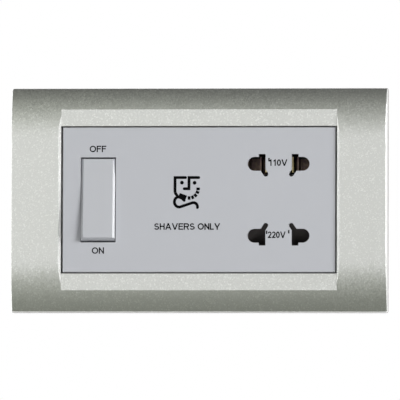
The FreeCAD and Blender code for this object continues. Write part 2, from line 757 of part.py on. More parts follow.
def rocker():
    """Rocker shown pressed at its top, OFF: hollow behind, with trunnions and a stem for the plunger."""
    y_face = Y_FASCIA - ROCKER_PROUD
    half_w = ROCKER_WELL_W / 2 - ROCKER_GAP
    end_r = ROCKER_WELL_H / 2 - ROCKER_GAP
    y_skin = y_face + ROCKER_SKIN
    y_heel = Y_PIVOT + ROCKER_HEEL
    cavity = centred(2 * (half_w - ROCKER_SKIN), 2 * (end_r - 2 * ROCKER_SKIN), y_skin, y_heel, ROCKER_X)
    y_stem = Y_PIVOT + STEM_LENGTH
    stem = rod_y(STEM_R, ROCKER_X, 0, y_skin, y_stem)
    web = centred(2 * half_w - ROCKER_SKIN, ROCKER_SKIN, y_skin, Y_PIVOT, ROCKER_X)
    trunnion_root, trunnion_end = half_w - ROCKER_SKIN, half_w + TRUNNION_LENGTH
    trunnions = [
        rod_x(
            TRUNNION_R,
            Y_PIVOT,
            0,
            *sorted((ROCKER_X + side * trunnion_root, ROCKER_X + side * trunnion_end)),
        )
        for side in (-1, 1)
    ]
    bore = rod_y(PLUNGER_R + FIT, ROCKER_X, 0, y_skin, y_stem)
    body = rocker_body().cut(cavity).fuse([stem, web] + trunnions).cut(bore)
    return tilted(one(body), Y_PIVOT, -ROCKER_TILT)


def plunger():
    """Nylon plunger in the rocker's stem: its round tip presses on the see-saw."""
    y_tip = Y_PIVOT + PLUNGER_REACH
    y_ball = y_tip - PLUNGER_TIP_R
    y_neck = y_ball - PLUNGER_R
    y_top = y_tip - PLUNGER_LENGTH
    body = rod_y(PLUNGER_R, ROCKER_X, 0, y_top, y_neck)
    neck = cone_y(PLUNGER_R, PLUNGER_TIP_R, ROCKER_X, 0, y_neck, y_ball)
    tip = Part.makeSphere(PLUNGER_TIP_R, Vector(ROCKER_X, y_ball, 0))
    return tilted(one(body.fuse([neck, tip])), Y_PIVOT, -ROCKER_TILT)


def coil_spring(turns, start, length, direction):
    """A helical spring along a direction, of the given length over its wire, which is six-sided."""
    wire_r, radius = SPRING_WIRE_R, SPRING_R - SPRING_WIRE_R
    free = length - 2 * wire_r
    helix = Part.makeHelix(free / turns, free, radius)
    angles = [2 * math.pi * i / WIRE_SIDES for i in range(WIRE_SIDES)]
    outline = [Vector(radius + wire_r * math.cos(t), 0, wire_r * math.sin(t)) for t in angles]
    section = Part.makePolygon(outline + outline[:1])
    spring = Part.Wire(helix.Edges).makePipeShell([section], True, True)
    spring.translate(Vector(0, 0, wire_r))
    spring.Placement = FreeCAD.Placement(
        start, FreeCAD.Rotation(Vector(0, 0, 1), direction)
    ).multiply(spring.Placement)
    return spring


def plunger_spring():
    """Spring between the rocker's face and the plunger."""
    y_skin = Y_FASCIA - ROCKER_PROUD + ROCKER_SKIN
    y_top = Y_PIVOT + PLUNGER_REACH - PLUNGER_LENGTH
    length = y_top - y_skin - 2 * SPRING_SEAT_GAP
    start = Vector(ROCKER_X, y_skin + SPRING_SEAT_GAP, 0)
    spring = coil_spring(PLUNGER_SPRING_TURNS, start, length, Vector(0, 1, 0))
    return tilted(spring, Y_PIVOT, -ROCKER_TILT)


def switch_base():
    """Moulded cup behind the rocker's well: it carries the switch contacts and is staked to the fascia."""
    cup = centred(CUP_W, CUP_H, Y_FASCIA_BACK, Y_CUP_BACK, ROCKER_X)
    inner = 2 * SWITCH_WALL
    hollow = centred(CUP_W - inner, CUP_H - inner, Y_FASCIA_BACK, Y_CUP_FLOOR, ROCKER_X)
    spots = [((ROCKER_X, side * STAKE_CUP_Z), (0, side * STAKE_EAR_R)) for side in (-1, 1)]
    tails = [switch_tail(z, FIT) for z in (0.0, CONTACT_Z)]
    columns = screw_wells(SEAT_GAP)[0]
    return one(cup.cut(hollow).fuse(ears(spots)).cut(tails + columns))


def switch_tail(z, slack=0.0):
    """A solder tail through the floor of the switch base."""
    width, thickness = TAIL_W + 2 * slack, TAIL_T + 2 * slack
    return centred(width, thickness, Y_CUP_FLOOR - STRIP_T, Y_CUP_BACK + TAIL_OUT, ROCKER_X, z)


def seesaw_at_rest(shape):
    """The see-saw's pieces are drawn level and then tipped, lower end back, as the plunger holds them."""
    return tilted(shape, Y_SEESAW, SEESAW_TILT)


def moving_contact():
    """Copper see-saw with round side ears and a silver contact at its upper end."""
    half = SEESAW_HALF_LENGTH
    strip = centred(SEESAW_W, 2 * half, Y_SEESAW - SEESAW_T / 2, Y_SEESAW + SEESAW_T / 2, ROCKER_X)
    root = SEESAW_W / 2 - SEESAW_EAR_ROOT
    pivots = [
        rod_x(
            SEESAW_EAR_R,
            Y_SEESAW,
            0,
            *sorted((ROCKER_X + side * root, ROCKER_X + side * SEESAW_EAR_REACH)),
        )
        for side in (-1, 1)
    ]
    back = Y_SEESAW + SEESAW_T / 2
    button = rod_y(CONTACT_R, ROCKER_X, CONTACT_Z, back, back + CONTACT_T)
    return seesaw_at_rest(one(strip.fuse(pivots + [button])))


def pivot_terminal():
    """Brass cradle that the see-saw's ears rest in, with its solder tail."""
    y_notch = Y_SEESAW + SEESAW_EAR_R + FIT
    y_tip = Y_SEESAW - CRADLE_LIP
    foot = centred(2 * CRADLE_X + CRADLE_T, CRADLE_W, Y_CUP_FLOOR - STRIP_T, Y_CUP_FLOOR, ROCKER_X)
    arms, notches = [], []
    for side in (-1, 1):
        x = ROCKER_X + side * CRADLE_X
        arms.append(centred(CRADLE_T, CRADLE_W, y_tip, Y_CUP_FLOOR, x))
        seat = SEESAW_EAR_R + FIT
        notches.append(centred(CRADLE_T, 2 * seat, y_tip, Y_SEESAW, x))
        notches.append(rod_x(seat, y_notch - seat, 0, x - CRADLE_T / 2, x + CRADLE_T / 2))
    return one(foot.fuse(arms + [switch_tail(0.0)]).cut(notches))


def closed_contact_level():
    """How far back the see-saw's button reaches when the switch is on, at its outer edge."""
    angle = math.radians(SEESAW_TILT)
    behind = SEESAW_T / 2 + CONTACT_T
    return Y_SEESAW + behind * math.cos(angle) + (CONTACT_Z + CONTACT_R) * math.sin(angle)


def fixed_contact():
    """Brass strip on the switch base's floor with the silver contact that the see-saw meets."""
    y_button = closed_contact_level() + CONTACT_GAP
    plate = centred(STRIP_W, STRIP_W, Y_CUP_FLOOR - STRIP_T, Y_CUP_FLOOR, ROCKER_X, CONTACT_Z)
    button = rod_y(CONTACT_R, ROCKER_X, CONTACT_Z, y_button, Y_CUP_FLOOR)
    return one(plate.fuse([button, switch_tail(CONTACT_Z)]))


def solder_tail(side, up, y0, y1, slack=0.0):
    """A contact clip's tail, which passes back through the carrier."""
    x = OUTLET_X + side * SOLDER_X
    return centred(TAIL_T + 2 * slack, TAIL_W + 2 * slack, y0, y1, x, up * OUTLET_Z)


def clip_well(side, up):
    """The pocket in the carrier that one contact clip stands in."""
    x0, x1 = sorted((OUTLET_X + side * CLIP_WELL_IN, OUTLET_X + side * CLIP_WELL_OUT))
    z = up * OUTLET_Z
    y0 = Y_FASCIA_BACK if up > 0 else CHAMBER_DEEP
    return block(x0, x1, y0, CLIP_WELL_FLOOR, z - CLIP_WELL_HALF_H, z + CLIP_WELL_HALF_H)


def spring_bay():
    """The channel behind the shutter's chamber, in which its lug and spring run."""
    half = SHUTTER_LUG_W / 2 + SHUTTER_FRONT_GAP
    bottom = SHUTTER_BOTTOM_Z - SHUTTER_FRONT_GAP
    deep = lug_back() + SHUTTER_FRONT_GAP
    return block(OUTLET_X - half, OUTLET_X + half, Y_FASCIA_BACK, deep, bottom, spring_top())


def spring_top():
    """The ledge in the carrier that the shutter's spring pushes against."""
    return CHAMBER_TOP + 2 * SPRING_R


def lug_back():
    """How far back the shutter's spring lug reaches."""
    return CHAMBER_DEEP - SHUTTER_FRONT_GAP + SHUTTER_LUG_T


def contact_carrier():
    """Black block behind the outlets: wells for four contact clips and a chamber for the shutter."""
    body = centred(CARRIER_W, CARRIER_H, Y_FASCIA_BACK, CARRIER_DEEP, OUTLET_X)
    bottom = SHUTTER_BOTTOM_Z - SHUTTER_FRONT_GAP
    inner_w = SHUTTER_W + 2 * SHUTTER_FRONT_GAP
    x0, x1 = OUTLET_X - inner_w / 2, OUTLET_X + inner_w / 2
    chamber = block(x0, x1, Y_FASCIA_BACK, CHAMBER_DEEP, bottom, CHAMBER_TOP)
    wells = [clip_well(side, up) for side in (-1, 1) for up in (-1, 1)]
    tails = [
        solder_tail(side, up, CLIP_WELL_FLOOR, CARRIER_DEEP, FIT) for side in (-1, 1) for up in (-1, 1)
    ]
    spots = [((OUTLET_X + side * STAKE_CARRIER_X, 0.0), (side * STAKE_EAR_R, 0)) for side in (-1, 1)]
    return one(body.cut([chamber, spring_bay()] + wells + tails).fuse(ears(spots)))


def leaf(side, up, x, lean, length):
    """One brass leaf of a contact clip, with its tip bent by lean to lead a pin in."""
    y_tip = CLIP_WELL_FLOOR - length
    y_bend = y_tip + LEAF_FLARE_LENGTH
    outline = [
        (x, CLIP_WELL_FLOOR),
        (x, y_bend),
        (x + lean, y_tip),
        (x + lean + LEAF_T, y_tip),
        (x + LEAF_T, y_bend),
        (x + LEAF_T, CLIP_WELL_FLOOR),
    ]
    z = up * OUTLET_Z
    return prism_z([(OUTLET_X + side * a, y) for a, y in outline], z - LEAF_HALF_H, z + LEAF_HALF_H)


def contact_clip(side, up):
    """Brass clip: a blade fits between its inner leaves, a round pin between the middle and outer ones."""
    length = UPPER_LEAF_LENGTH if up > 0 else LOWER_LEAF_LENGTH
    leaves = [
        leaf(side, up, LEAF_INNER_X, -LEAF_FLARE, length),
        leaf(side, up, LEAF_MIDDLE_X, 0.0, length),
        leaf(side, up, LEAF_OUTER_X, 0.0, length),
    ]
    x0, x1 = sorted((OUTLET_X + side * LEAF_INNER_X, OUTLET_X + side * (LEAF_OUTER_X + LEAF_T)))
    z = up * OUTLET_Z
    y_base = CLIP_WELL_FLOOR - LEAF_T
    base = block(x0, x1, y_base, CLIP_WELL_FLOOR, z - LEAF_HALF_H, z + LEAF_HALF_H)
    tail = solder_tail(side, up, y_base, CARRIER_DEEP + TAIL_OUT / 2)
    return one(base.fuse(leaves + [tail]))


def common_busbar():
    """Brass strip behind the carrier that joins the two left clips."""
    x = OUTLET_X - SOLDER_X
    height = 2 * OUTLET_Z + BUSBAR_W
    bar = centred(BUSBAR_W, height, CARRIER_DEEP, CARRIER_DEEP + BUSBAR_T, x)
    slots = [solder_tail(-1, up, CARRIER_DEEP, CARRIER_DEEP + BUSBAR_T, FIT) for up in (-1, 1)]
    return one(bar.cut(slots))


def lower_shutter():
    """Black shutter behind the lower outlet: pins push on its slope and lift it clear of the holes."""
    y_front = Y_FASCIA_BACK + SHUTTER_FRONT_GAP
    y_deep = y_front + SHUTTER_RAMP_DEPTH
    y_back = y_deep + SHUTTER_T
    outline = [
        (y_front, SHUTTER_TOP_Z),
        (y_deep, SHUTTER_BOTTOM_Z),
        (y_back, SHUTTER_BOTTOM_Z),
        (y_back, SHUTTER_BOTTOM_Z + SHUTTER_T),
        (y_front + SHUTTER_T, SHUTTER_TOP_Z),
    ]
    ramp = prism_x(outline, OUTLET_X - SHUTTER_W / 2, OUTLET_X + SHUTTER_W / 2)
    cheek = [
        (y_front, SHUTTER_TOP_Z),
        (y_front, SHUTTER_BOTTOM_Z),
        (y_back, SHUTTER_BOTTOM_Z),
        (y_back, SHUTTER_TOP_Z),
    ]
    cheeks = []
    for side in (-1, 1):
        edge = OUTLET_X + side * SHUTTER_W / 2
        cheeks.append(prism_x(cheek, *sorted((edge, edge - side * SHUTTER_CHEEK_T))))
    lug_z = (SHUTTER_BOTTOM_Z, SHUTTER_BOTTOM_Z + SHUTTER_LUG_T)
    half = SHUTTER_LUG_W / 2
    lug = block(OUTLET_X - half, OUTLET_X + half, y_deep, lug_back(), *lug_z)
    return one(ramp.fuse(cheeks + [lug]))


def shutter_spring():
    """Spring that presses the shutter down over the lower outlet."""
    z0 = SHUTTER_BOTTOM_Z + SHUTTER_LUG_T + SPRING_SEAT_GAP
    length = spring_top() - SPRING_SEAT_GAP - z0
    start = Vector(OUTLET_X, lug_back() - SPRING_R, z0)
    return coil_spring(SHUTTER_SPRING_TURNS, start, length, Vector(0, 0, 1))


def transformer_core():
    """Stack of laminations with two winding windows and bevelled corners."""
    a, b, c = CORE_W / 2, CORE_H / 2, CORE_CORNER
    outline = [
        (a - c, b), (-a + c, b), (-a, b - c), (-a, -b + c),
        (-a + c, -b), (a - c, -b), (a, -b + c), (a, b - c),
    ]
    stack = prism_y([(CORE_X + x, z) for x, z in outline], Y_CORE_FRONT, Y_CORE_BACK)
    offset = (LEG_W + WINDOW_SLOT_W) / 2
    slots = [
        centred(WINDOW_SLOT_W, WINDOW_SLOT_H, Y_CORE_FRONT, Y_CORE_BACK, CORE_X + side * offset)
        for side in (-1, 1)
    ]
    return one(stack.cut(slots))


def leg_tube(grow_in, grow_out, z0, z1, radius=0.0):
    """A square tube round the core's middle leg, between two distances from the leg's faces."""
    def tube(grow):
        width, depth = LEG_W + 2 * grow, CORE_STACK + 2 * grow
        bar = block(
            CORE_X - width / 2, CORE_X + width / 2, Y_CORE_MID - depth / 2, Y_CORE_MID + depth / 2, z0, z1
        )
        if radius and grow == grow_out:
            upright = [e for e in bar.Edges if abs(e.Vertexes[0].Z - e.Vertexes[-1].Z) > 1e-6]
            bar = bar.makeFillet(radius, upright)
        return bar

    return tube(grow_out).cut(tube(grow_in))


def coil_bobbin():
    """Moulded bobbin on the middle leg, with a flange at each end."""
    half = WINDOW_SLOT_H / 2 - BOBBIN_SLACK
    inner = BOBBIN_SLACK
    tube = leg_tube(inner, inner + BOBBIN_WALL, -half, half)
    reach = winding_level(2) + BOBBIN_FLANGE_OVER
    ends = [(-half, -half + BOBBIN_FLANGE_T), (half - BOBBIN_FLANGE_T, half)]
    return one(tube.fuse([leg_tube(inner, reach, *span, radius=WINDING_CORNER_R) for span in ends]))


def winding_level(layer):
    """The distance of a winding's inside from the leg: 0 primary, 1 secondary, 2 the outside."""
    return BOBBIN_SLACK + BOBBIN_WALL + COIL_ROOM * (0.0, PRIMARY_SHARE, 1.0)[layer]


def winding(layer):
    """The primary, 0, or secondary, 1, as one wound body between the bobbin's flanges."""
    half = WINDOW_SLOT_H / 2 - BOBBIN_SLACK - BOBBIN_FLANGE_T
    inner, outer = winding_level(layer), winding_level(layer + 1)
    return one(leg_tube(inner, outer, -half, half))


def thermal_cutout():
    """Self-resetting cutout taped to the front of the coil, with its bevelled case."""
    y1 = Y_CORE_MID - CORE_STACK / 2 - winding_level(2)
    case = centred(CUTOUT_W, CUTOUT_H, y1 - CUTOUT_T, y1, CORE_X)
    front = [e for e in case.Edges if all(abs(v.Y - (y1 - CUTOUT_T)) < TINY for v in e.Vertexes)]
    return case.makeFillet(CUTOUT_T / 4, front)


def core_strap(side):
    """Steel strap over an outer leg of the core, with a foot at each end screwed to the housing."""
    x = strap_x(side)
    y_foot = Y_HOUSING_BACK - STRAP_BOSS_H
    half = CORE_H / 2
    bar = centred(STRAP_W, 2 * (half + STRAP_T), Y_CORE_FRONT - STRAP_T, Y_CORE_FRONT, x)
    made = []
    for up in (-1, 1):
        z0, z1 = sorted((up * half, up * (half + STRAP_T)))
        made.append(block(x - STRAP_W / 2, x + STRAP_W / 2, Y_CORE_FRONT - STRAP_T, y_foot, z0, z1))
        z0, z1 = sorted((up * half, up * (half + STRAP_T + STRAP_FOOT)))
        made.append(block(x - STRAP_W / 2, x + STRAP_W / 2, y_foot - STRAP_T, y_foot, z0, z1))
    holes = [
        rod_y(STRAP_SCREW_R + FIT, x, z, y_foot - STRAP_T, y_foot)
        for foot_x, z in strap_spots()
        if foot_x == x
    ]
    return one(bar.fuse(made).cut(holes))


def strap_screws():
    """The four small screws through the straps' feet."""
    y = Y_HOUSING_BACK - STRAP_BOSS_H - STRAP_T
    screws = []
    for x, z in strap_spots():
        shank = rod_y(STRAP_SCREW_R, x, z, y, y + STRAP_SCREW_DEPTH)
        head = rod_y(STRAP_HEAD_R, x, z, y - STRAP_HEAD_T, y)
        slot = centred(2 * STRAP_HEAD_R, SCREW_SLOT_W, y - STRAP_HEAD_T, y - STRAP_HEAD_T / 2, x, z)
        screws.append(one(shank.fuse(head).cut(slot)))
    return Part.makeCompound(screws)


def terminal_z(index):
    """The height of one of the three supply terminals, from the lowest up."""
    return (index - 1) * TERMINAL_PITCH


def terminal_tail(index, slack=0.0):
    """The strip from a terminal's pillar through the block and the shoulder into the housing."""
    y0, y1 = SHOULDER_DEEP - CLAMP_TAIL_DEEP, SHOULDER_DEEP + TERMINAL_BASE_T
    return centred(TAIL_W + 2 * slack, TAIL_T + 2 * slack, y0, y1, TERMINAL_X, terminal_z(index))


def terminal_block():
    """Moulded block on the shoulder with three open pockets, each with a round entry for its wire."""
    body = centred(
        TERMINAL_BLOCK_W, TERMINAL_BLOCK_H, SHOULDER_DEEP, SHOULDER_DEEP + TERMINAL_BLOCK_T, TERMINAL_X
    )
    y_floor = SHOULDER_DEEP + TERMINAL_BASE_T
    y_open = SHOULDER_DEEP + TERMINAL_BLOCK_T
    cuts = []
    for index in range(3):
        z = terminal_z(index)
        width, height = PILLAR_W + 2 * PILLAR_SLACK, PILLAR_H + 2 * PILLAR_SLACK
        cuts.append(centred(width, height, y_floor, y_open, TERMINAL_X, z))
        y_wire = y_floor + WIRE_HOLE_LEVEL
        x0 = TERMINAL_X - TERMINAL_BLOCK_W / 2
        cuts.append(rod_x(WIRE_ENTRY_R, y_wire, z, x0, TERMINAL_X))
        cuts.append(terminal_tail(index, FIT))
    return one(body.cut(cuts))


def terminal_pillar(index):
    """Brass pillar with a cross hole for the wire, a threaded hole for its screw and a tail."""
    y0 = SHOULDER_DEEP + TERMINAL_BASE_T
    z = terminal_z(index)
    pillar = centred(PILLAR_W, PILLAR_H, y0, y0 + PILLAR_T, TERMINAL_X, z)
    wire = rod_x(WIRE_HOLE_R, y0 + WIRE_HOLE_LEVEL, z, TERMINAL_X - PILLAR_W / 2, TERMINAL_X + PILLAR_W / 2)
    thread = rod_y(CLAMP_SCREW_R, TERMINAL_X, z, y0 + WIRE_HOLE_LEVEL, y0 + PILLAR_T)
    return one(pillar.cut([wire, thread]).fuse(terminal_tail(index)))


def clamp_screws():
    """The three terminal screws, backed out so that a wire can enter."""
    y0 = SHOULDER_DEEP + TERMINAL_BASE_T
    y_tip = y0 + WIRE_HOLE_LEVEL + WIRE_HOLE_R + SEAT_GAP
    y_head = y0 + PILLAR_T + SEAT_GAP
    return Part.makeCompound(
        [
            cap_screw(
                CLAMP_SCREW_R, y_head - y_tip, CLAMP_HEAD_R, CLAMP_HEAD_T, TERMINAL_X, y_head, terminal_z(i)
            )
            for i in range(3)
        ]
    )


def all_parts():
    """Every piece of the product by name."""
    return {
        "face_frame": face_frame(),
        "mounting_frame": mounting_frame(),
        "module_fascia": module_fascia(),
        "rear_housing": rear_housing(),
        "housing_screws": housing_screws(),
        "rocker": rocker(),
        "plunger": plunger(),
        "plunger_spring": plunger_spring(),
        "switch_base": switch_base(),
        "moving_contact": moving_contact(),
        "pivot_terminal": pivot_terminal(),
        "fixed_contact": fixed_contact(),
        "contact_carrier": contact_carrier(),
        "upper_left_contact": contact_clip(-1, 1),
        "upper_right_contact": contact_clip(1, 1),
        "lower_left_contact": contact_clip(-1, -1),
        "lower_right_contact": contact_clip(1, -1),
        "common_busbar": common_busbar(),
        "lower_shutter": lower_shutter(),
        "shutter_spring": shutter_spring(),
        "transformer_core": transformer_core(),
        "coil_bobbin": coil_bobbin(),
        "primary_winding": winding(0),
        "secondary_winding": winding(1),
        "thermal_cutout": thermal_cutout(),
        "left_core_strap": core_strap(-1),
        "right_core_strap": core_strap(1),
        "strap_screws": strap_screws(),
        "terminal_block": terminal_block(),
        "earth_terminal": terminal_pillar(0),
        "neutral_terminal": terminal_pillar(1),
        "live_terminal": terminal_pillar(2),
        "clamp_screws": clamp_screws(),
    }


def main():
    """Writes one STEP file for each piece."""
    os.makedirs("parts", exist_ok=True)
    for name, shape in all_parts().items():
        shape.exportStep(os.path.join("parts", name + ".step"))
        print(f"{name}: {len(shape.Solids)} solid, {shape.Volume:.1f} mm3, valid {shape.isValid()}")


main()
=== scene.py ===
"""Looks of a shaver supply socket: its finishes, its printed legends and the studio it stands in.

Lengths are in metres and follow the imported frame: X to the right, Y into the wall and Z up. The origin is
the middle of the wall plane.
"""

import json
import logging
import math
from dataclasses import dataclass, field
from enum import Enum

import bpy
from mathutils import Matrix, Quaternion, Vector

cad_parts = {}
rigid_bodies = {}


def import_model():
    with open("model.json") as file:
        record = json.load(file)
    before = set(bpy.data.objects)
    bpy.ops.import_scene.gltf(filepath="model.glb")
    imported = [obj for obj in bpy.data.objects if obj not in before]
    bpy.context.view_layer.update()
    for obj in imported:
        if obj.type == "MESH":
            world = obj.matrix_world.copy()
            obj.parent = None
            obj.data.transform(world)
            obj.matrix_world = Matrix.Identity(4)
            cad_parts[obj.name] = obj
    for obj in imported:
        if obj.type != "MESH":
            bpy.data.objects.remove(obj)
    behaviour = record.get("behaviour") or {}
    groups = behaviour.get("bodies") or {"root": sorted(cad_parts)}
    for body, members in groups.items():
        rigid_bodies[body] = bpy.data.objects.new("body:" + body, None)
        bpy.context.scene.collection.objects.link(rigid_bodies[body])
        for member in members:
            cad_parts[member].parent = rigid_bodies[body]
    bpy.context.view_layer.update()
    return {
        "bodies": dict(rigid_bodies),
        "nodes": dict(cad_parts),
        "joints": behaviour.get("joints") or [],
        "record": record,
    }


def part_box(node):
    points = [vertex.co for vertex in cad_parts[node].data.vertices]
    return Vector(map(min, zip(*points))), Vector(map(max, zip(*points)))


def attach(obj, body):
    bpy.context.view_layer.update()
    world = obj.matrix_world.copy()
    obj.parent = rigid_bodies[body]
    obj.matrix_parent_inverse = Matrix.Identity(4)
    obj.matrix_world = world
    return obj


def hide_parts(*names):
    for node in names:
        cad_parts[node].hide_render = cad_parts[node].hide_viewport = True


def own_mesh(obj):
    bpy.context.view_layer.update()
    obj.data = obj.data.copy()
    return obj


LOG = logging.getLogger("shaver_socket")
MM = 0.001
WHITE = (1.0, 1.0, 1.0)
MIDDLE_OF_CELL = (0.5, 0.5, 0.5)
# How far apart the bands of a wave texture of scale 1 lie, in metres.
WAVE_PERIOD = math.pi / 10.0
# A stroke whose ends lie closer than this share of its width is a ring.
CLOSED_GAP = 0.01
# A ribbon's corner sticks out no further than its half width divided by this.
SHARPEST_MITRE = 0.35

Triple = tuple[float, float, float]
Colour = Triple
Span = tuple[float, float]
Point = tuple[float, float]
Stroke = list[Point]
Face = tuple[int, ...]
Socket = bpy.types.NodeSocket


class Step(Enum):
    """One step of arithmetic on values."""

    ABSOLUTE = "ABSOLUTE"
    ARCTAN2 = "ARCTAN2"
    MAXIMUM = "MAXIMUM"
    MULTIPLY = "MULTIPLY"
    SUBTRACT = "SUBTRACT"


class Axis(Enum):
    """The axis along which layers follow each other."""

    Y = "Y"
    Z = "Z"


class MaterialGraph:
    """A material with one main shader, and the nodes that feed it."""

    def __init__(self, name: str) -> None:
        """Makes an empty material with its shader and output.

        Args:
            name: The material's name.
        """
        self.material = bpy.data.materials.new(name)
        self.material.use_nodes = True
        self.tree = self.material.node_tree
        self.tree.nodes.clear()
        self.shader = self.add("ShaderNodeBsdfPrincipled")
        output = self.add("ShaderNodeOutputMaterial")
        self.join(self.shader.outputs["BSDF"], output.inputs["Surface"])
        self.place = self.add("ShaderNodeTexCoord").outputs["Object"]

    def add(self, kind: str, **values: object) -> bpy.types.ShaderNode:
        """Adds a node.

        Args:
            kind: The node's type name.
            values: Properties of the node to set.

        Returns:
            The new node.
        """
        node = self.tree.nodes.new(kind)
        for name, value in values.items():
            setattr(node, name, value)
        return node

    def join(self, source: Socket, target: Socket) -> None:
        """Links an output to an input."""
        self.tree.links.new(source, target)

    def feed(self, **sources: Socket) -> None:
        """Links sockets of the main shader, with underscores in place of the blanks in their names."""
        for name, source in sources.items():
            self.join(source, self.shader.inputs[name.replace("_", " ")])

    def set(self, **values: float | tuple[float, ...]) -> None:
        """Sets sockets of the main shader, with underscores in place of the blanks in their names."""
        for name, value in values.items():
            self.shader.inputs[name.replace("_", " ")].default_value = value

    def axes(self) -> bpy.types.NodeOutputs:
        """The place in the piece's own space as three values, X, Y and Z."""
        split = self.add("ShaderNodeSeparateXYZ")
        self.join(self.place, split.inputs[0])
        return split.outputs

    def noise(self, scale: float, detail: float = 2.0, stretch: Triple = (1.0, 1.0, 1.0)) -> Socket:
        """Adds a noise texture in the piece's own space.

        Args:
            scale: Features for each metre.
            detail: Octaves of finer noise.
            stretch: How much finer the noise is along each axis.

        Returns:
            The noise's value.
        """
        mapping = self.add("ShaderNodeMapping")
        mapping.inputs["Scale"].default_value = stretch
        self.join(self.place, mapping.inputs["Vector"])
        texture = self.add("ShaderNodeTexNoise")
        texture.inputs["Scale"].default_value = scale
        texture.inputs["Detail"].default_value = detail
        self.join(mapping.outputs["Vector"], texture.inputs["Vector"])
        return texture.outputs["Fac"]

    def cells(self, scale: float) -> Socket:
        """Adds small cells of random colour.

        Args:
            scale: Cells for each metre.

        Returns:
            Each cell's random colour.
        """
        texture = self.add("ShaderNodeTexVoronoi")
        texture.inputs["Scale"].default_value = scale
        self.join(self.place, texture.inputs["Vector"])
        return texture.outputs["Color"]

    def bands(self, scale: float, axis: Axis, distortion: float = 0.0) -> Socket:
        """Adds straight bands across one axis.

        Args:
            scale: Bands for each metre.
            axis: The axis along which the bands follow each other.
            distortion: How far the bands stray.

        Returns:
            The bands' value.
        """
        texture = self.add("ShaderNodeTexWave", bands_direction=axis.value)
        texture.inputs["Scale"].default_value = scale * WAVE_PERIOD
        texture.inputs["Distortion"].default_value = distortion
        self.join(self.place, texture.inputs["Vector"])
        return texture.outputs["Fac"]

    def ramp(self, value: Socket, low: Colour, high: Colour, span: Span = (0.0, 1.0)) -> Socket:
        """Turns a value into a colour between two colours.

        Args:
            value: What is turned.
            low: The colour at the span's start.
            high: The colour at its end.
            span: The values at which the two colours stand.

        Returns:
            The colour.
        """
        ramp = self.add("ShaderNodeValToRGB")
        for stop, colour, position in zip(ramp.color_ramp.elements, (low, high), span):
            stop.color = (*colour, 1.0)
            stop.position = position
        self.join(value, ramp.inputs["Fac"])
        return ramp.outputs["Color"]

    def level(self, value: Socket, target: Span, source: Span = (0.0, 1.0)) -> Socket:
        """Maps a value from one span onto another.

        Args:
            value: What is mapped.
            target: The results at the source's two ends.
            source: The span that the value runs through, past which the result stays.

        Returns:
            The mapped value.
        """
        node = self.add("ShaderNodeMapRange")
        for name, number in zip(("From Min", "From Max", "To Min", "To Max"), (*source, *target)):
            node.inputs[name].default_value = number
        self.join(value, node.inputs["Value"])
        return node.outputs["Result"]

    def maths(self, step: Step, *values: float | Socket) -> Socket:
        """Adds one step of arithmetic.

        Args:
            step: What it does.
            values: What it works on, as numbers or outputs of nodes.

        Returns:
            The result.
        """
        node = self.add("ShaderNodeMath", operation=step.value)
        for value, target in zip(values, node.inputs):
            if isinstance(value, float):
                target.default_value = value
            else:
                self.join(value, target)
        return node.outputs["Value"]

    def bump(self, height: Socket, depth: float, under: Socket | None = None) -> Socket:
        """Roughens the surface by a height.

        Args:
            height: The height, from 0 to 1.
            depth: What a height of 1 stands for, in metres.
            under: The normal of a coarser bump below this one.

        Returns:
            The new normal.
        """
        bump = self.add("ShaderNodeBump")
        bump.inputs["Distance"].default_value = depth
        self.join(height, bump.inputs["Height"])
        if under is not None:
            self.join(under, bump.inputs["Normal"])
        return bump.outputs["Normal"]


def near(colour: Colour, share: float) -> Colour:
    """The colour made lighter or darker by a share."""
    return tuple(min(channel * (1.0 + share), 1.0) for channel in colour)


def around(value: float, spread: Span) -> Span:
    """A value with a spread below and above it."""
    return value + spread[0], value + spread[1]


@dataclass(frozen=True)
class MouldedPlastic:
    """Moulded plastic with a fine sparked grain and slow changes of shade."""

    name: str
    colour: Colour
    roughness: float = 0.45
    grain: float = 2600.0
    grain_depth: float = 0.006 * MM
    shade: float = 0.03
    specular: float = 0.4
    clouds: float = 60.0
    cloud_span: Span = (0.3, 0.7)
    waves: float = 150.0
    wave_share: float = 1.5

    def build(self) -> bpy.types.Material:
        """The finished material."""
        graph = MaterialGraph(self.name)
        graph.set(Roughness=self.roughness, Specular_IOR_Level=self.specular)
        cloud = graph.noise(self.clouds, detail=3.0)
        darker, lighter = near(self.colour, -self.shade), near(self.colour, self.shade)
        waves = graph.bump(graph.noise(self.waves, detail=1.0), self.grain_depth * self.wave_share)
        grain = graph.bump(graph.noise(self.grain), self.grain_depth, waves)
        graph.feed(Base_Color=graph.ramp(cloud, darker, lighter, self.cloud_span), Normal=grain)
        return graph.material


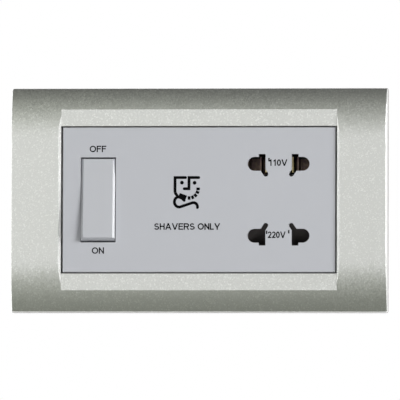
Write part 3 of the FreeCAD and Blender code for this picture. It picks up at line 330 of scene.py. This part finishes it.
@dataclass(frozen=True)
class MetallicPaint:
    """Silver paint over plastic: metal flakes in a clear binder, each at its own small angle, with painted
    glints where sparse flakes are lighter in colour.
    """

    name: str
    colour: Colour
    metallic: float = 0.92
    roughness: float = 0.36
    specular: float = 0.3
    flakes: float = 2700.0
    flake_tilt: float = 0.12
    glints: float = 2160.0
    glint: float = 0.18
    glint_span: Span = (0.66, 0.85)
    patches: float = 500.0
    patch_spread: Span = (-0.02, 0.02)

    def build(self) -> bpy.types.Material:
        """The finished material."""
        graph = MaterialGraph(self.name)
        graph.set(Metallic=self.metallic, Specular_IOR_Level=self.specular)
        # Sparse cells of lighter colour are painted glints of the flakes.
        bright = near(self.colour, self.glint)
        graph.feed(
            Base_Color=graph.ramp(graph.cells(self.glints), self.colour, bright, self.glint_span),
            Roughness=graph.level(graph.noise(self.patches), around(self.roughness, self.patch_spread)),
            Normal=self.flake_normal(graph),
        )
        return graph.material

    def flake_normal(self, graph: MaterialGraph) -> Socket:
        """Tips the surface by a small random angle on each flake.

        Args:
            graph: The material that the flakes lie in.

        Returns:
            The tipped normal.
        """
        centred = graph.add("ShaderNodeVectorMath", operation="SUBTRACT")
        centred.inputs[1].default_value = MIDDLE_OF_CELL
        graph.join(graph.cells(self.flakes), centred.inputs[0])
        front_unshaded = graph.add("ShaderNodeVectorMath", operation="SCALE")
        front_unshaded.inputs["Scale"].default_value = self.flake_tilt
        graph.join(centred.outputs["Vector"], front_unshaded.inputs[0])
        tipped = graph.add("ShaderNodeVectorMath", operation="ADD")
        graph.join(graph.add("ShaderNodeNewGeometry").outputs["Normal"], tipped.inputs[0])
        graph.join(front_unshaded.outputs["Vector"], tipped.inputs[1])
        unit = graph.add("ShaderNodeVectorMath", operation="NORMALIZE")
        graph.join(tipped.outputs["Vector"], unit.inputs[0])
        return unit.outputs["Vector"]


@dataclass(frozen=True)
class WorkedMetal:
    """Stamped, drawn or plated metal with a rolled grain and dull spots."""

    name: str
    colour: Colour
    roughness: float = 0.3
    grain: Triple = (1.0, 1.0, 12.0)
    tarnish: float = -0.25
    spots: float = 220.0
    spot_span: Span = (0.35, 0.6)
    lines: float = 700.0
    line_spread: Span = (-0.08, 0.14)
    line_depth: float = 0.01 * MM

    def build(self) -> bpy.types.Material:
        """The finished material."""
        graph = MaterialGraph(self.name)
        graph.set(Metallic=1.0)
        spots = graph.noise(self.spots, detail=4.0)
        lines = graph.noise(self.lines, detail=3.0, stretch=self.grain)
        graph.feed(
            Base_Color=graph.ramp(spots, near(self.colour, self.tarnish), self.colour, self.spot_span),
            Roughness=graph.level(lines, around(self.roughness, self.line_spread)),
            Normal=graph.bump(lines, self.line_depth),
        )
        return graph.material


@dataclass(frozen=True)
class RubbedBrassPaintedShade:
    """Spring brass, brown with age and bright where the pins rub the front tips of its inner leaf, with
    painted shade that darkens it deeper inside the outlet.
    """

    name: str
    bright: Colour = (0.78, 0.66, 0.36)
    # Aged brown brass, made darker still as painted shade of the outlet's inside.
    aged_and_shaded: Colour = (0.07, 0.045, 0.055)
    outlet_x: float = 30.8 * MM
    bright_x: Span = (6.1 * MM, 6.8 * MM)
    # The depths over which painted shade darkens the brass behind its front tips.
    painted_shade_y: Span = (-1.6 * MM, 0.0)
    rubs: float = 900.0
    rub_level: Span = (0.6, 1.3)
    patches: float = 600.0
    patch_level: Span = (-0.1, 0.26)
    gloss: float = 700.0
    roughness: Span = (0.25, 0.45)

    def build(self) -> bpy.types.Material:
        """The finished material."""
        graph = MaterialGraph(self.name)
        graph.set(Metallic=1.0)
        place = graph.axes()
        aside = graph.maths(Step.ABSOLUTE, graph.maths(Step.SUBTRACT, place["X"], self.outlet_x))
        inner = graph.level(aside, (1.0, 0.0), self.bright_x)
        # Painted shade: the brass stays bright only at the front and darkens deeper into the outlet.
        front_unshaded = graph.level(place["Y"], (1.0, 0.0), self.painted_shade_y)
        spots = graph.level(graph.noise(self.rubs, detail=3.0), self.rub_level)
        rubbed_and_unshaded = graph.maths(Step.MULTIPLY, graph.maths(Step.MULTIPLY, inner, front_unshaded), spots)
        patches = graph.level(graph.noise(self.patches, detail=3.0), self.patch_level)
        worn_and_unshaded = graph.maths(Step.MAXIMUM, rubbed_and_unshaded, patches)
        graph.feed(
            Base_Color=graph.ramp(worn_and_unshaded, self.aged_and_shaded, self.bright),
            Roughness=graph.level(graph.noise(self.gloss, detail=3.0), self.roughness),
        )
        return graph.material


@dataclass(frozen=True)
class Layered:
    """A stack or coil whose layers show as fine lines on its outside."""

    name: str
    low: Colour
    high: Colour
    pitch: float
    axis: Axis
    metallic: float = 0.0
    roughness: float = 0.4
    depth: float = 0.08 * MM
    stray: float = 0.4
    line_span: Span = (0.1, 0.6)

    def build(self) -> bpy.types.Material:
        """The finished material."""
        graph = MaterialGraph(self.name)
        graph.set(Metallic=self.metallic, Roughness=self.roughness)
        lines = graph.bands(1.0 / self.pitch, self.axis, self.stray)
        colour = graph.ramp(lines, self.low, self.high, self.line_span)
        graph.feed(Base_Color=colour, Normal=graph.bump(lines, self.depth))
        return graph.material


@dataclass(frozen=True)
class PrintInk:
    """Pad-printed ink, a little uneven at its surface."""

    name: str
    colour: Colour
    roughness: float = 0.6
    specular: float = 0.03
    patches: float = 2500.0
    patch_shade: float = 0.5
    depth: float = 0.004 * MM

    def build(self) -> bpy.types.Material:
        """The finished material."""
        graph = MaterialGraph(self.name)
        graph.set(Roughness=self.roughness, Specular_IOR_Level=self.specular)
        patches = graph.noise(self.patches)
        colour = graph.ramp(patches, self.colour, near(self.colour, self.patch_shade))
        graph.feed(Base_Color=colour, Normal=graph.bump(patches, self.depth))
        return graph.material


Finish = MouldedPlastic | MetallicPaint | WorkedMetal | RubbedBrassPaintedShade | Layered | PrintInk

SILVER_PAINT = MetallicPaint("silver_paint", (0.66, 0.665, 0.652))
RIM_PLASTIC = MouldedPlastic("rim_plastic", (0.47, 0.45, 0.45))
GREY_PLASTIC = MouldedPlastic(
    "grey_plastic", (0.546, 0.559, 0.591), roughness=0.3, grain_depth=0.003 * MM, shade=0.006
)
ROCKER_PLASTIC = MouldedPlastic(
    "rocker_plastic", (0.55, 0.563, 0.595), roughness=0.1, grain_depth=0.002 * MM, shade=0.006, specular=0.7
)
HOUSING_PLASTIC = MouldedPlastic("housing_plastic", (0.66, 0.66, 0.64), roughness=0.55, grain=1500.0)
TERMINAL_PLASTIC = MouldedPlastic("terminal_plastic", (0.60, 0.59, 0.55), roughness=0.5)
BLACK_PLASTIC = MouldedPlastic("black_plastic", (0.018, 0.017, 0.017), roughness=0.5, shade=0.2)
SHUTTER_PLASTIC = MouldedPlastic("shutter_plastic", (0.105, 0.094, 0.09), roughness=0.4, shade=0.2)
BOBBIN_PLASTIC = MouldedPlastic("bobbin_plastic", (0.62, 0.60, 0.50), roughness=0.5)
NYLON = MouldedPlastic("nylon", (0.72, 0.71, 0.65), roughness=0.4)
CUTOUT_PLASTIC = MouldedPlastic("cutout_plastic", (0.03, 0.03, 0.035), roughness=0.35)
BRASS = WorkedMetal("brass", (0.80, 0.58, 0.27))
CONTACT_BRASS = RubbedBrassPaintedShade("contact_brass")
COPPER = WorkedMetal("copper", (0.85, 0.47, 0.30), roughness=0.28)
ZINC_STEEL = WorkedMetal("zinc_steel", (0.66, 0.66, 0.63), roughness=0.34)
SPRING_STEEL = WorkedMetal("spring_steel", (0.55, 0.55, 0.55), roughness=0.25)
CORE_STEEL = Layered("core_steel", (0.05, 0.05, 0.055), (0.22, 0.22, 0.23), 0.5 * MM, Axis.Y, 0.8, 0.45)
COPPER_COIL = Layered("copper_coil", (0.30, 0.10, 0.03), (0.75, 0.34, 0.14), 0.35 * MM, Axis.Z, 0.9, 0.3)
TAPED_COIL = Layered("taped_coil", (0.55, 0.36, 0.03), (0.72, 0.52, 0.07), 9.0 * MM, Axis.Z, 0.0, 0.3)
INK = PrintInk("ink", (0.002, 0.002, 0.0025))

FINISH_OF_NODE: dict[str, Finish] = {
    "face_frame": SILVER_PAINT,
    "mounting_frame": RIM_PLASTIC,
    "module_fascia": GREY_PLASTIC,
    "rocker": ROCKER_PLASTIC,
    "rear_housing": HOUSING_PLASTIC,
    "housing_screws": ZINC_STEEL,
    "plunger": NYLON,
    "plunger_spring": SPRING_STEEL,
    "switch_base": BLACK_PLASTIC,
    "moving_contact": COPPER,
    "pivot_terminal": BRASS,
    "fixed_contact": BRASS,
    "contact_carrier": BLACK_PLASTIC,
    "upper_left_contact": CONTACT_BRASS,
    "upper_right_contact": CONTACT_BRASS,
    "lower_left_contact": CONTACT_BRASS,
    "lower_right_contact": CONTACT_BRASS,
    "common_busbar": BRASS,
    "lower_shutter": SHUTTER_PLASTIC,
    "shutter_spring": SPRING_STEEL,
    "transformer_core": CORE_STEEL,
    "coil_bobbin": BOBBIN_PLASTIC,
    "primary_winding": COPPER_COIL,
    "secondary_winding": TAPED_COIL,
    "thermal_cutout": CUTOUT_PLASTIC,
    "left_core_strap": ZINC_STEEL,
    "right_core_strap": ZINC_STEEL,
    "strap_screws": ZINC_STEEL,
    "terminal_block": TERMINAL_PLASTIC,
    "earth_terminal": BRASS,
    "neutral_terminal": BRASS,
    "live_terminal": BRASS,
    "clamp_screws": ZINC_STEEL,
}


def arc(x: float, z: float, rx: float, rz: float, start: float, stop: float, steps: int = 14) -> Stroke:
    """Points along part of an ellipse.

    Args:
        x: The centre's place across.
        z: The centre's height.
        rx: The radius across.
        rz: The radius upwards.
        start: The first angle in degrees, from the right, turning left.
        stop: The last angle.
        steps: How many straight pieces stand for the arc.

    Returns:
        The points in order.
    """
    turns = [math.radians(start + (stop - start) * i / steps) for i in range(steps + 1)]
    return [(x + rx * math.cos(t), z + rz * math.sin(t)) for t in turns]


@dataclass(frozen=True)
class Letter:
    """One plain sans-serif letter: its width in cap heights and the centre lines of its strokes."""

    width: float
    strokes: tuple[Stroke, ...]


@dataclass(frozen=True)
class Alphabet:
    """Plain sans-serif capitals and figures as strokes, for a cap height of 1."""

    weight: float = 0.178
    gap: float = 0.09

    def letter(self, sign: str) -> Letter:
        """The strokes of one sign.

        Args:
            sign: A capital, a figure or a blank.

        Returns:
            The letter.
        """
        return getattr(self, "sign_" + sign.lower() if sign != " " else "blank")()

    @property
    def half(self) -> float:
        """Half the stroke's width."""
        return self.weight / 2

    def blank(self) -> Letter:
        """The gap between words."""
        return Letter(0.30, ())

    def ring(self, width: float) -> Letter:
        """A closed oval of the full height."""
        h = self.half
        return Letter(width, (arc(width / 2, 0.5, width / 2 - h, 0.5 - h, 90, 450, 36),))

    def sign_o(self) -> Letter:
        """The letter O."""
        return self.ring(0.99)

    def sign_0(self) -> Letter:
        """The figure 0."""
        return self.ring(0.66)

    def sign_f(self) -> Letter:
        """The letter F."""
        h, width = self.half, 0.70
        stem = [(h, 0.0), (h, 1.0)]
        return Letter(width, (stem, [(0.0, 1 - h), (width, 1 - h)], [(0.0, 0.53), (width - 0.09, 0.53)]))

    def sign_e(self) -> Letter:
        """The letter E."""
        h, width = self.half, 0.74
        bars = [[(0.0, z), (reach, z)] for z, reach in ((h, width), (0.53, width - 0.05), (1 - h, width))]
        return Letter(width, ([(h, 0.0), (h, 1.0)], *bars))

    def sign_l(self) -> Letter:
        """The letter L."""
        h, width = self.half, 0.62
        return Letter(width, ([(h, 1.0), (h, 0.0)], [(0.0, h), (width, h)]))

    def sign_h(self) -> Letter:
        """The letter H."""
        h, width = self.half, 0.79
        stems = [[(x, 0), (x, 1)] for x in (h, width - h)]
        return Letter(width, (*stems, [(0, 0.53), (width, 0.53)]))

    def sign_n(self) -> Letter:
        """The letter N."""
        h, width = self.half, 0.79
        stems = [[(x, 0), (x, 1)] for x in (h, width - h)]
        return Letter(width, (*stems, [(h, 1 - h), (width - h, h)]))

    def sign_a(self) -> Letter:
        """The letter A."""
        h, width = self.half, 0.98
        legs = [[(foot, 0.0), (width / 2, 1.0)] for foot in (h, width - h)]
        return Letter(width, (*legs, [(width * 0.2, 0.31), (width * 0.8, 0.31)]))

    def sign_v(self) -> Letter:
        """The letter V."""
        h, width = self.half, 0.98
        return Letter(width, tuple([(top, 1.0), (width / 2, 0.0)] for top in (h, width - h)))

    def sign_y(self) -> Letter:
        """The letter Y."""
        h, width, fork = self.half, 0.94, 0.43
        arms = [[(top, 1.0), (width / 2, fork - h)] for top in (h, width - h)]
        return Letter(width, (*arms, [(width / 2, 0.0), (width / 2, fork)]))

    def sign_r(self) -> Letter:
        """The letter R."""
        h, width = self.half, 0.86
        top, waist = 1 - h, 0.48
        bowl = (top - waist) / 2
        curve = arc(0.55, waist + bowl, 0.22, bowl, 90, -90)
        leg = [(0.50, waist), (width - h, 0)]
        return Letter(width, ([(h, 0), (h, 1)], [(0, top), *curve, (0, waist)], leg))

    def sign_s(self) -> Letter:
        """The letter S."""
        h, width = self.half, 0.82
        bowl = (0.5 - h) / 2
        upper = arc(width / 2, 0.5 + bowl, width / 2 - h * 1.6, bowl, 25, 270)
        lower = arc(width / 2, 0.5 - bowl, width / 2 - h, bowl, 90, -160)
        return Letter(width, (upper + lower[1:],))

    def sign_1(self) -> Letter:
        """The figure 1."""
        stem = 0.42
        return Letter(0.62, ([(stem, 0.0), (stem, 1.0)], [(0.14, 0.70), (stem, 0.90)]))

    def sign_2(self) -> Letter:
        """The figure 2."""
        h, width = self.half, 0.66
        radius = width / 2 - h
        hook = arc(width / 2, 1 - h - radius, radius, radius, 165, -30)
        return Letter(width, (hook + [(h * 1.3, h)], [(0.0, h), (width, h)]))


def new_piece(name: str, points: list[Triple], faces: list[Face]) -> bpy.types.Object:
    """Adds a piece to the scene.

    Args:
        name: The piece's name.
        points: Its corners.
        faces: Its faces, each as the places of its corners in that list.

    Returns:
        The piece, without a finish.
    """
    mesh = bpy.data.meshes.new(name)
    mesh.from_pydata(points, [], faces)
    mesh.validate()
    piece = bpy.data.objects.new(name, mesh)
    bpy.context.scene.collection.objects.link(piece)
    return piece


def level_sheet(name: str, half: float, front: float, back: float, height: float) -> bpy.types.Object:
    """Adds a level rectangle to the scene.

    Args:
        name: The sheet's name.
        half: Half its width.
        front: Where its near edge lies along Y.
        back: Where its far edge lies.
        height: The level that it lies at.

    Returns:
        The sheet, without a finish.
    """
    rim = ((-half, front), (half, front), (half, back), (-half, back))
    return new_piece(name, [(x, y, height) for x, y in rim], [(0, 1, 2, 3)])


def scaled(stroke: Stroke) -> Stroke:
    """Points that are given in millimetres, in metres."""
    return [(x * MM, z * MM) for x, z in stroke]


@dataclass(frozen=True)
class Word:
    """One printed word: its left edge, base line and width, in millimetres."""

    name: str
    text: str
    left: float
    base: float
    width: float


@dataclass(frozen=True)
class InkPlane:
    """The face that legends are printed on."""

    level: float
    thickness: float = 0.03 * MM
    sink: float = 0.01 * MM
    stagger: float = 0.0012 * MM

    def ribbons(self, name: str, strokes: list[Stroke], width: float) -> bpy.types.Object:
        """Prints strokes as flat raised ribbons with square ends.

        Args:
            name: The new piece's name.
            strokes: Centre lines as points across and up, in metres.
            width: The ribbons' width.

        Returns:
            The piece.
        """
        points: list[Triple] = []
        faces: list[Face] = []
        for index, stroke in enumerate(strokes):
            self.add_ribbon(points, faces, stroke, width, index * self.stagger)
        return new_piece(name, points, faces)

    def add_ribbon(
        self, points: list[Triple], faces: list[Face], stroke: Stroke, width: float, rise: float
    ) -> None:
        """Adds one ribbon's corners and faces.

        Args:
            points: The corners so far.
            faces: The faces so far.
            stroke: The ribbon's centre line.
            width: The ribbon's width.
            rise: How much further it stands out than the first one.
        """
        closed = (Vector(stroke[0]) - Vector(stroke[-1])).length < width * CLOSED_GAP
        line = [Vector(p) for p in (stroke[:-1] if closed else stroke)]
        count = len(line)
        first = len(points)
        front, back = self.level - self.thickness - rise, self.level + self.sink
        for i, spot in enumerate(line):
            before = line[i - 1] if closed or i > 0 else spot
            after = line[(i + 1) % count] if closed or i < count - 1 else spot
            shift = mitre(before, spot, after) * (width / 2)
            for side in (shift, -shift):
                points.extend([(spot.x + side.x, y, spot.y + side.y) for y in (front, back)])
        for i in range(count if closed else count - 1):
            a, b = first + 4 * i, first + 4 * ((i + 1) % count)
            faces.extend([(a, b, b + 2, a + 2), (a + 1, a, b, b + 1)[::-1], (a + 2, b + 2, b + 3, a + 3)])
            faces.append((a + 1, a + 3, b + 3, b + 1))
        if not closed:
            last = first + 4 * (count - 1)
            faces.extend([(first, first + 2, first + 3, first + 1), (last, last + 1, last + 3, last + 2)])

    def dots(self, name: str, centres: list[Point], radius: float) -> bpy.types.Object:
        """Prints round dots, each as a ring that closes over its middle.

        Args:
            name: The new piece's name.
            centres: The dots' middles.
            radius: The dots' radius.

        Returns:
            The piece.
        """
        rings = [arc(x, z, radius / 2, radius / 2, 0, 360, 24) for x, z in centres]
        return self.ribbons(name, rings, radius)

    def word(self, word: Word, height: float) -> bpy.types.Object:
        """Prints a word.

        Args:
            word: The word, with the width that it has to take.
            height: The height of its capitals, in metres.

        Returns:
            The piece.
        """
        alphabet = Alphabet()
        letters = [alphabet.letter(sign) for sign in word.text]
        natural = sum(letter.width for letter in letters) + alphabet.gap * (len(letters) - 1)
        left, base = word.left * MM, word.base * MM
        squeeze = word.width * MM / (natural * height)
        strokes: list[Stroke] = []
        at = 0.0
        for letter in letters:
            for stroke in letter.strokes:
                strokes.append([(left + (at + x) * height * squeeze, base + z * height) for x, z in stroke])
            at += letter.width + alphabet.gap
        return self.ribbons(word.name, strokes, alphabet.weight * height)


def mitre(before: Vector, spot: Vector, after: Vector) -> Vector:
    """The way from a line's corner to the outside of a ribbon of half width 1, at its left.

    Args:
        before: The point before the corner.
        spot: The corner.
        after: The point after the corner.

    Returns:
        The shift to the ribbon's left corner.
    """
    sides = []
    for a, b in ((before, spot), (spot, after)):
        run = b - a
        if run.length > 0:
            run.normalize()
            sides.append(Vector((-run.y, run.x)))
    middle = sum(sides, Vector((0.0, 0.0))).normalized()
    return middle / max(middle.dot(sides[0]), SHARPEST_MITRE)


def dress(piece: bpy.types.Object, material: bpy.types.Material) -> None:
    """Gives a piece one material all over."""
    piece.data.materials.clear()
    piece.data.materials.append(material)


@dataclass
class FinishSet:
    """The finishes in use, each built once."""

    built: dict[str, bpy.types.Material] = field(default_factory=dict)

    def material(self, finish: Finish) -> bpy.types.Material:
        """The material of a finish."""
        if finish.name not in self.built:
            self.built[finish.name] = finish.build()
        return self.built[finish.name]


@dataclass
class Assembly:
    """The pieces that come from the frame, each in its own finish."""

    finishes: FinishSet
    nodes: dict[str, bpy.types.Object]

    def build(self) -> None:
        """Dresses every piece of the frame."""
        for name, piece in self.nodes.items():
            dress(piece, self.finishes.material(FINISH_OF_NODE[name]))
            LOG.info("%s: %d faces", name, len(piece.data.polygons))


@dataclass(frozen=True)
class PressedSpring:
    """A coil spring that a sliding piece presses on, copied from the frame to ride on its body at its own
    length.
    """

    node: str
    body: str
    joint: str
    axis: Triple

    def build(self, frame: dict, finishes: FinishSet) -> None:
        """Puts a copy of the frame's spring, riding on its body, in the place of the frame's one.

        Args:
            frame: The frame, with its nodes and joints.
            finishes: The finishes in use.
        """
        spring = bpy.data.objects.new(self.node + "_coil", frame["nodes"][self.node].data.copy())
        bpy.context.scene.collection.objects.link(spring)
        dress(spring, finishes.material(FINISH_OF_NODE[self.node]))
        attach(spring, self.body)
        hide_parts(self.node)
        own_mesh(spring)


SPRINGS = (
    PressedSpring("plunger_spring", "rocker", "plunger_slide", (0.0, -0.994522, 0.104528)),
    PressedSpring("shutter_spring", "housing", "shutter_lift", (0.0, 0.0, 1.0)),
)

WORDS = (
    Word("legend_off", "OFF", -42.42, 18.45, 6.45),
    Word("legend_on", "ON", -41.49, -20.88, 4.75),
    Word("legend_shavers_only", "SHAVERS ONLY", -17.35, -11.6, 25.6),
    Word("legend_110v", "110V", 26.86, 13.1, 7.32),
    Word("legend_220v", "220V", 26.7, -14.8, 6.85),
)
TICKS = [(27.07, 15.5), (26.25, -12.6), (34.8, -12.4)]


@dataclass
class Legends:
    """The printed words, voltage marks and shaver figure on the module's front."""

    finishes: FinishSet
    body: str = "housing"
    cap_height: float = 2.5 * MM
    tick_height: float = 1.3 * MM
    tick_width: float = 0.55 * MM
    line_width: float = 1.1 * MM
    eye_radius: float = 0.72 * MM
    beard_width: float = 1.05 * MM
    beard_length: float = 1.35 * MM
    razor_width: float = 2.15 * MM

    def build(self) -> None:
        """Prints every legend and lets it ride on the housing."""
        low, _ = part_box("module_fascia")
        plane = InkPlane(level=low.y)
        words = [plane.word(word, self.cap_height) for word in WORDS]
        pieces = [*words, self.ticks(plane), *self.figure(plane)]
        ink = self.finishes.material(INK)
        for piece in pieces:
            dress(piece, ink)
            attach(piece, self.body)
            LOG.info("%s: %d faces", piece.name, len(piece.data.polygons))

    def ticks(self, plane: InkPlane) -> bpy.types.Object:
        """The small upright marks beside the voltages."""
        half = self.tick_height / 2
        strokes = [[(x, z - half), (x, z + half)] for x, z in scaled(TICKS)]
        return plane.ribbons("legend_ticks", strokes, self.tick_width)

    def figure(self, plane: InkPlane) -> list[bpy.types.Object]:
        """The shaver figure: a drawn head in a few lines, with a shaver at its chin and the shaver's lead.

        Args:
            plane: The face that it is printed on.

        Returns:
            Its pieces.
        """
        brow, nose = 8.6, 4.27
        cheek = [(-5.22, brow), (-9.28, brow), *arc(-7.2, 3.4, 2.08, 2.08, 180, 228, 6)]
        profile = [(-0.11, brow), (-3.86, brow), (-3.9, nose), (-5.72, nose)]
        loop = arc(-7.65, -0.82, 1.85, 2.0, 70, 291, 28)
        tail = arc(-2.15, -2.72, 1.6, 1.6, 111, -10, 12)
        strokes = [scaled(line) for line in (cheek, profile, [(-5.74, -0.23), *loop, *tail])]
        ends = [spot for stroke in strokes for spot in (stroke[0], stroke[-1])]
        eyes = scaled([(-6.61, 6.63), (-1.7, 6.55)])
        razor = scaled([(-7.8, 1.62), (-5.0, 0.57)])
        return [
            plane.ribbons("legend_head", strokes, self.line_width),
            plane.dots("legend_line_ends", ends, self.line_width / 2),
            plane.dots("legend_eyes", eyes, self.eye_radius),
            plane.ribbons("legend_beard", self.beard_marks(), self.beard_width),
            plane.ribbons("legend_razor", [razor], self.razor_width),
        ]

    def beard_marks(self) -> list[Stroke]:
        """Five short marks that curve round under the chin."""
        centre, radius, half = Vector((-3.83 * MM, 4.19 * MM)), 3.5 * MM, self.beard_length / 2
        marks = []
        for turn in (0, -22, -45, -67, -90):
            away = Vector((math.cos(math.radians(turn)), math.sin(math.radians(turn))))
            marks.append([tuple(centre + away * reach) for reach in (radius - half, radius + half)])
        return marks


@dataclass(frozen=True)
class SoftBox:
    """One studio lamp that looks at the product: its direction from the wall's normal, and its size."""

    name: str
    azimuth: float
    elevation: float
    distance: float
    width: float
    height: float
    power: float

    @property
    def place(self) -> Vector:
        """Where the lamp's middle stands."""
        return direction(self.azimuth, self.elevation) * self.distance


@dataclass(frozen=True)
class GradedCard:
    """A level card above or below the product, which glows as a studio's white cards do.

    It fades from white, far out, to its darkest, overhead, and from its left level to its right level.
    white_at and black_at are the angles, in degrees above the level, at which the fade starts and ends.
    """

    name: str
    height: float
    reach: float
    white_at: float
    black_at: float
    left_level: float
    right_level: float
    darkest: float = 0.0
    depth_behind: float = 0.12
    half_width: float = 2.2
    sides: Span = (-0.24, 0.02)
    tint: Colour = (0.91, 1.0, 0.74)

    def build(self) -> bpy.types.Object:
        """The card, which only mirrored rays see."""
        card = level_sheet(self.name, self.half_width, -self.reach, self.depth_behind, self.height)
        dress(card, self.finish())
        card.visible_camera = card.visible_diffuse = card.visible_transmission = card.visible_shadow = False
        return card

    def finish(self) -> bpy.types.Material:
        """A glow that falls with the angle at which the product sees the card, and from left to right."""
        graph = MaterialGraph(self.name)
        graph.set(Base_Color=(0.0, 0.0, 0.0, 1.0), Roughness=1.0, Specular_IOR_Level=0.0)
        place = graph.axes()
        outward = graph.maths(Step.MULTIPLY, place["Y"], -1.0)
        angle = graph.maths(Step.ARCTAN2, abs(self.height), outward)
        span = (math.radians(self.white_at), math.radians(self.black_at))
        glow = graph.level(angle, (1.0, self.darkest), span)
        across = graph.level(place["X"], (self.left_level, self.right_level), self.sides)
        graph.feed(
            Emission_Strength=graph.maths(Step.MULTIPLY, glow, across),
            Emission_Color=graph.ramp(glow, self.tint, WHITE),
        )
        return graph.material


def direction(azimuth: float, elevation: float) -> Vector:
    """The unit vector from the product to where something stands.

    Args:
        azimuth: Degrees to the right of straight out from the wall.
        elevation: Degrees above the level.

    Returns:
        The vector.
    """
    turn, rise = math.radians(azimuth), math.radians(elevation)
    return Vector((math.sin(turn) * math.cos(rise), -math.cos(turn) * math.cos(rise), math.sin(rise)))


def shown(tree: bpy.types.NodeTree) -> Socket:
    """Tells the rays that show the background from those that light the product.

    Args:
        tree: The nodes of a material or of the world.

    Returns:
        1 for a ray from the camera, one that is mirrored and one through something clear, or else 0.
    """
    path = tree.nodes.new("ShaderNodeLightPath")
    seen = path.outputs["Is Camera Ray"]
    for name in ("Is Glossy Ray", "Is Transmission Ray"):
        either = tree.nodes.new("ShaderNodeMath")
        either.operation = Step.MAXIMUM.value
        tree.links.new(seen, either.inputs[0])
        tree.links.new(path.outputs[name], either.inputs[1])
        seen = either.outputs["Value"]
    return seen


@dataclass
class Studio:
    """Camera, lamps, floor and background."""

    aim: Triple = (0.445 * MM, -9.0 * MM, -0.12 * MM)
    distance: float = 3.2
    frame_width: float = 154.53 * MM
    azimuth: float = 4.0
    elevation: float = -3.0
    roll: float = 0.17
    sensor: float = 36.0
    view_range: float = 100.0
    floor_level: float = -0.22
    floor_size: float = 9.0
    ambient: float = 0.18

    def build(self) -> None:
        """Sets up the whole studio."""
        self.add_camera()
        for lamp in self.lamps():
            self.add_lamp(lamp)
        for card in self.cards():
            card.build()
        self.add_floor()
        self.add_world()
        bpy.context.scene.view_settings.view_transform = "Standard"

    def lamps(self) -> list[SoftBox]:
        """A wide lamp from the right, a weak one from the left, a strip beside each edge and two behind."""
        return [
            SoftBox("key_lamp", 46.0, 18.0, 4.5, 1.8, 1.2, 147.0),
            SoftBox("fill_lamp", -30.0, 0.0, 3.0, 1.2, 0.8, 2.5),
            SoftBox("right_strip", 86.0, 3.0, 1.0, 0.03, 0.8, 0.65),
            SoftBox("left_strip", -87.5, 3.0, 1.0, 0.06, 0.8, 1.0),
            SoftBox("rear_right_lamp", 115.0, 15.0, 2.5, 2.0, 2.0, 12.0),
            SoftBox("rear_left_lamp", -150.0, 15.0, 2.5, 2.0, 2.0, 26.0),
        ]

    def cards(self) -> list[GradedCard]:
        """The cards that the arch mirrors where it slopes back, above and below."""
        return [
            GradedCard("upper_card", 0.30, 1.8, 0.0, 67.0, 1.5, 0.6),
            GradedCard("lower_card", -0.19, 1.8, -22.0, 52.0, 1.1, 0.76, darkest=0.24, depth_behind=0.01),
        ]

    def add_camera(self) -> None:
        """Places the camera a little to the right of the middle and below it."""
        data = bpy.data.cameras.new("camera")
        data.sensor_width = self.sensor
        data.lens = self.sensor * self.distance / self.frame_width
        data.clip_end = self.view_range
        camera = bpy.data.objects.new("camera", data)
        bpy.context.scene.collection.objects.link(camera)
        away = direction(self.azimuth, self.elevation)
        camera.location = Vector(self.aim) + away * self.distance
        upright = away.to_track_quat("Z", "Y")
        camera.rotation_euler = (upright @ Quaternion((0.0, 0.0, 1.0), math.radians(self.roll))).to_euler()
        bpy.context.scene.camera = camera

    def add_lamp(self, box: SoftBox) -> None:
        """Adds one lamp.

        Args:
            box: Its size, place and power.
        """
        data = bpy.data.lights.new(box.name, "AREA")
        data.shape = "RECTANGLE"
        data.size, data.size_y = box.width, box.height
        data.energy = box.power
        lamp = bpy.data.objects.new(box.name, data)
        bpy.context.scene.collection.objects.link(lamp)
        lamp.location = box.place
        lamp.rotation_euler = box.place.to_track_quat("Z", "Y").to_euler()

    def add_floor(self) -> None:
        """Adds the pale floor, which is white where it is seen or mirrored."""
        half = self.floor_size / 2
        floor = level_sheet("floor", half, -half, half, self.floor_level)
        graph = MaterialGraph("floor")
        graph.set(Base_Color=(0.9, 0.9, 0.9, 1.0), Roughness=0.9, Emission_Color=(*WHITE, 1.0))
        graph.feed(Emission_Strength=shown(graph.tree))
        dress(floor, graph.material)

    def add_world(self) -> None:
        """Makes the background white where it is seen or mirrored, and dimmer where it lights."""
        world = bpy.data.worlds.new("studio")
        bpy.context.scene.world = world
        world.use_nodes = True
        tree = world.node_tree
        tree.nodes.clear()
        level = tree.nodes.new("ShaderNodeMapRange")
        level.inputs["To Min"].default_value = self.ambient
        level.inputs["To Max"].default_value = 1.0
        tree.links.new(shown(tree), level.inputs["Value"])
        background = tree.nodes.new("ShaderNodeBackground")
        background.inputs["Color"].default_value = (*WHITE, 1.0)
        tree.links.new(level.outputs["Result"], background.inputs["Strength"])
        output = tree.nodes.new("ShaderNodeOutputWorld")
        tree.links.new(background.outputs["Background"], output.inputs["Surface"])


def main() -> None:
    """Builds the looks in order."""
    logging.basicConfig(level=logging.INFO, format="%(message)s")
    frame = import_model()
    finishes = FinishSet()
    Studio().build()
    Assembly(finishes, frame["nodes"]).build()
    for spring in SPRINGS:
        spring.build(frame, finishes)
    Legends(finishes).build()


if __name__ == "__main__":
    main()
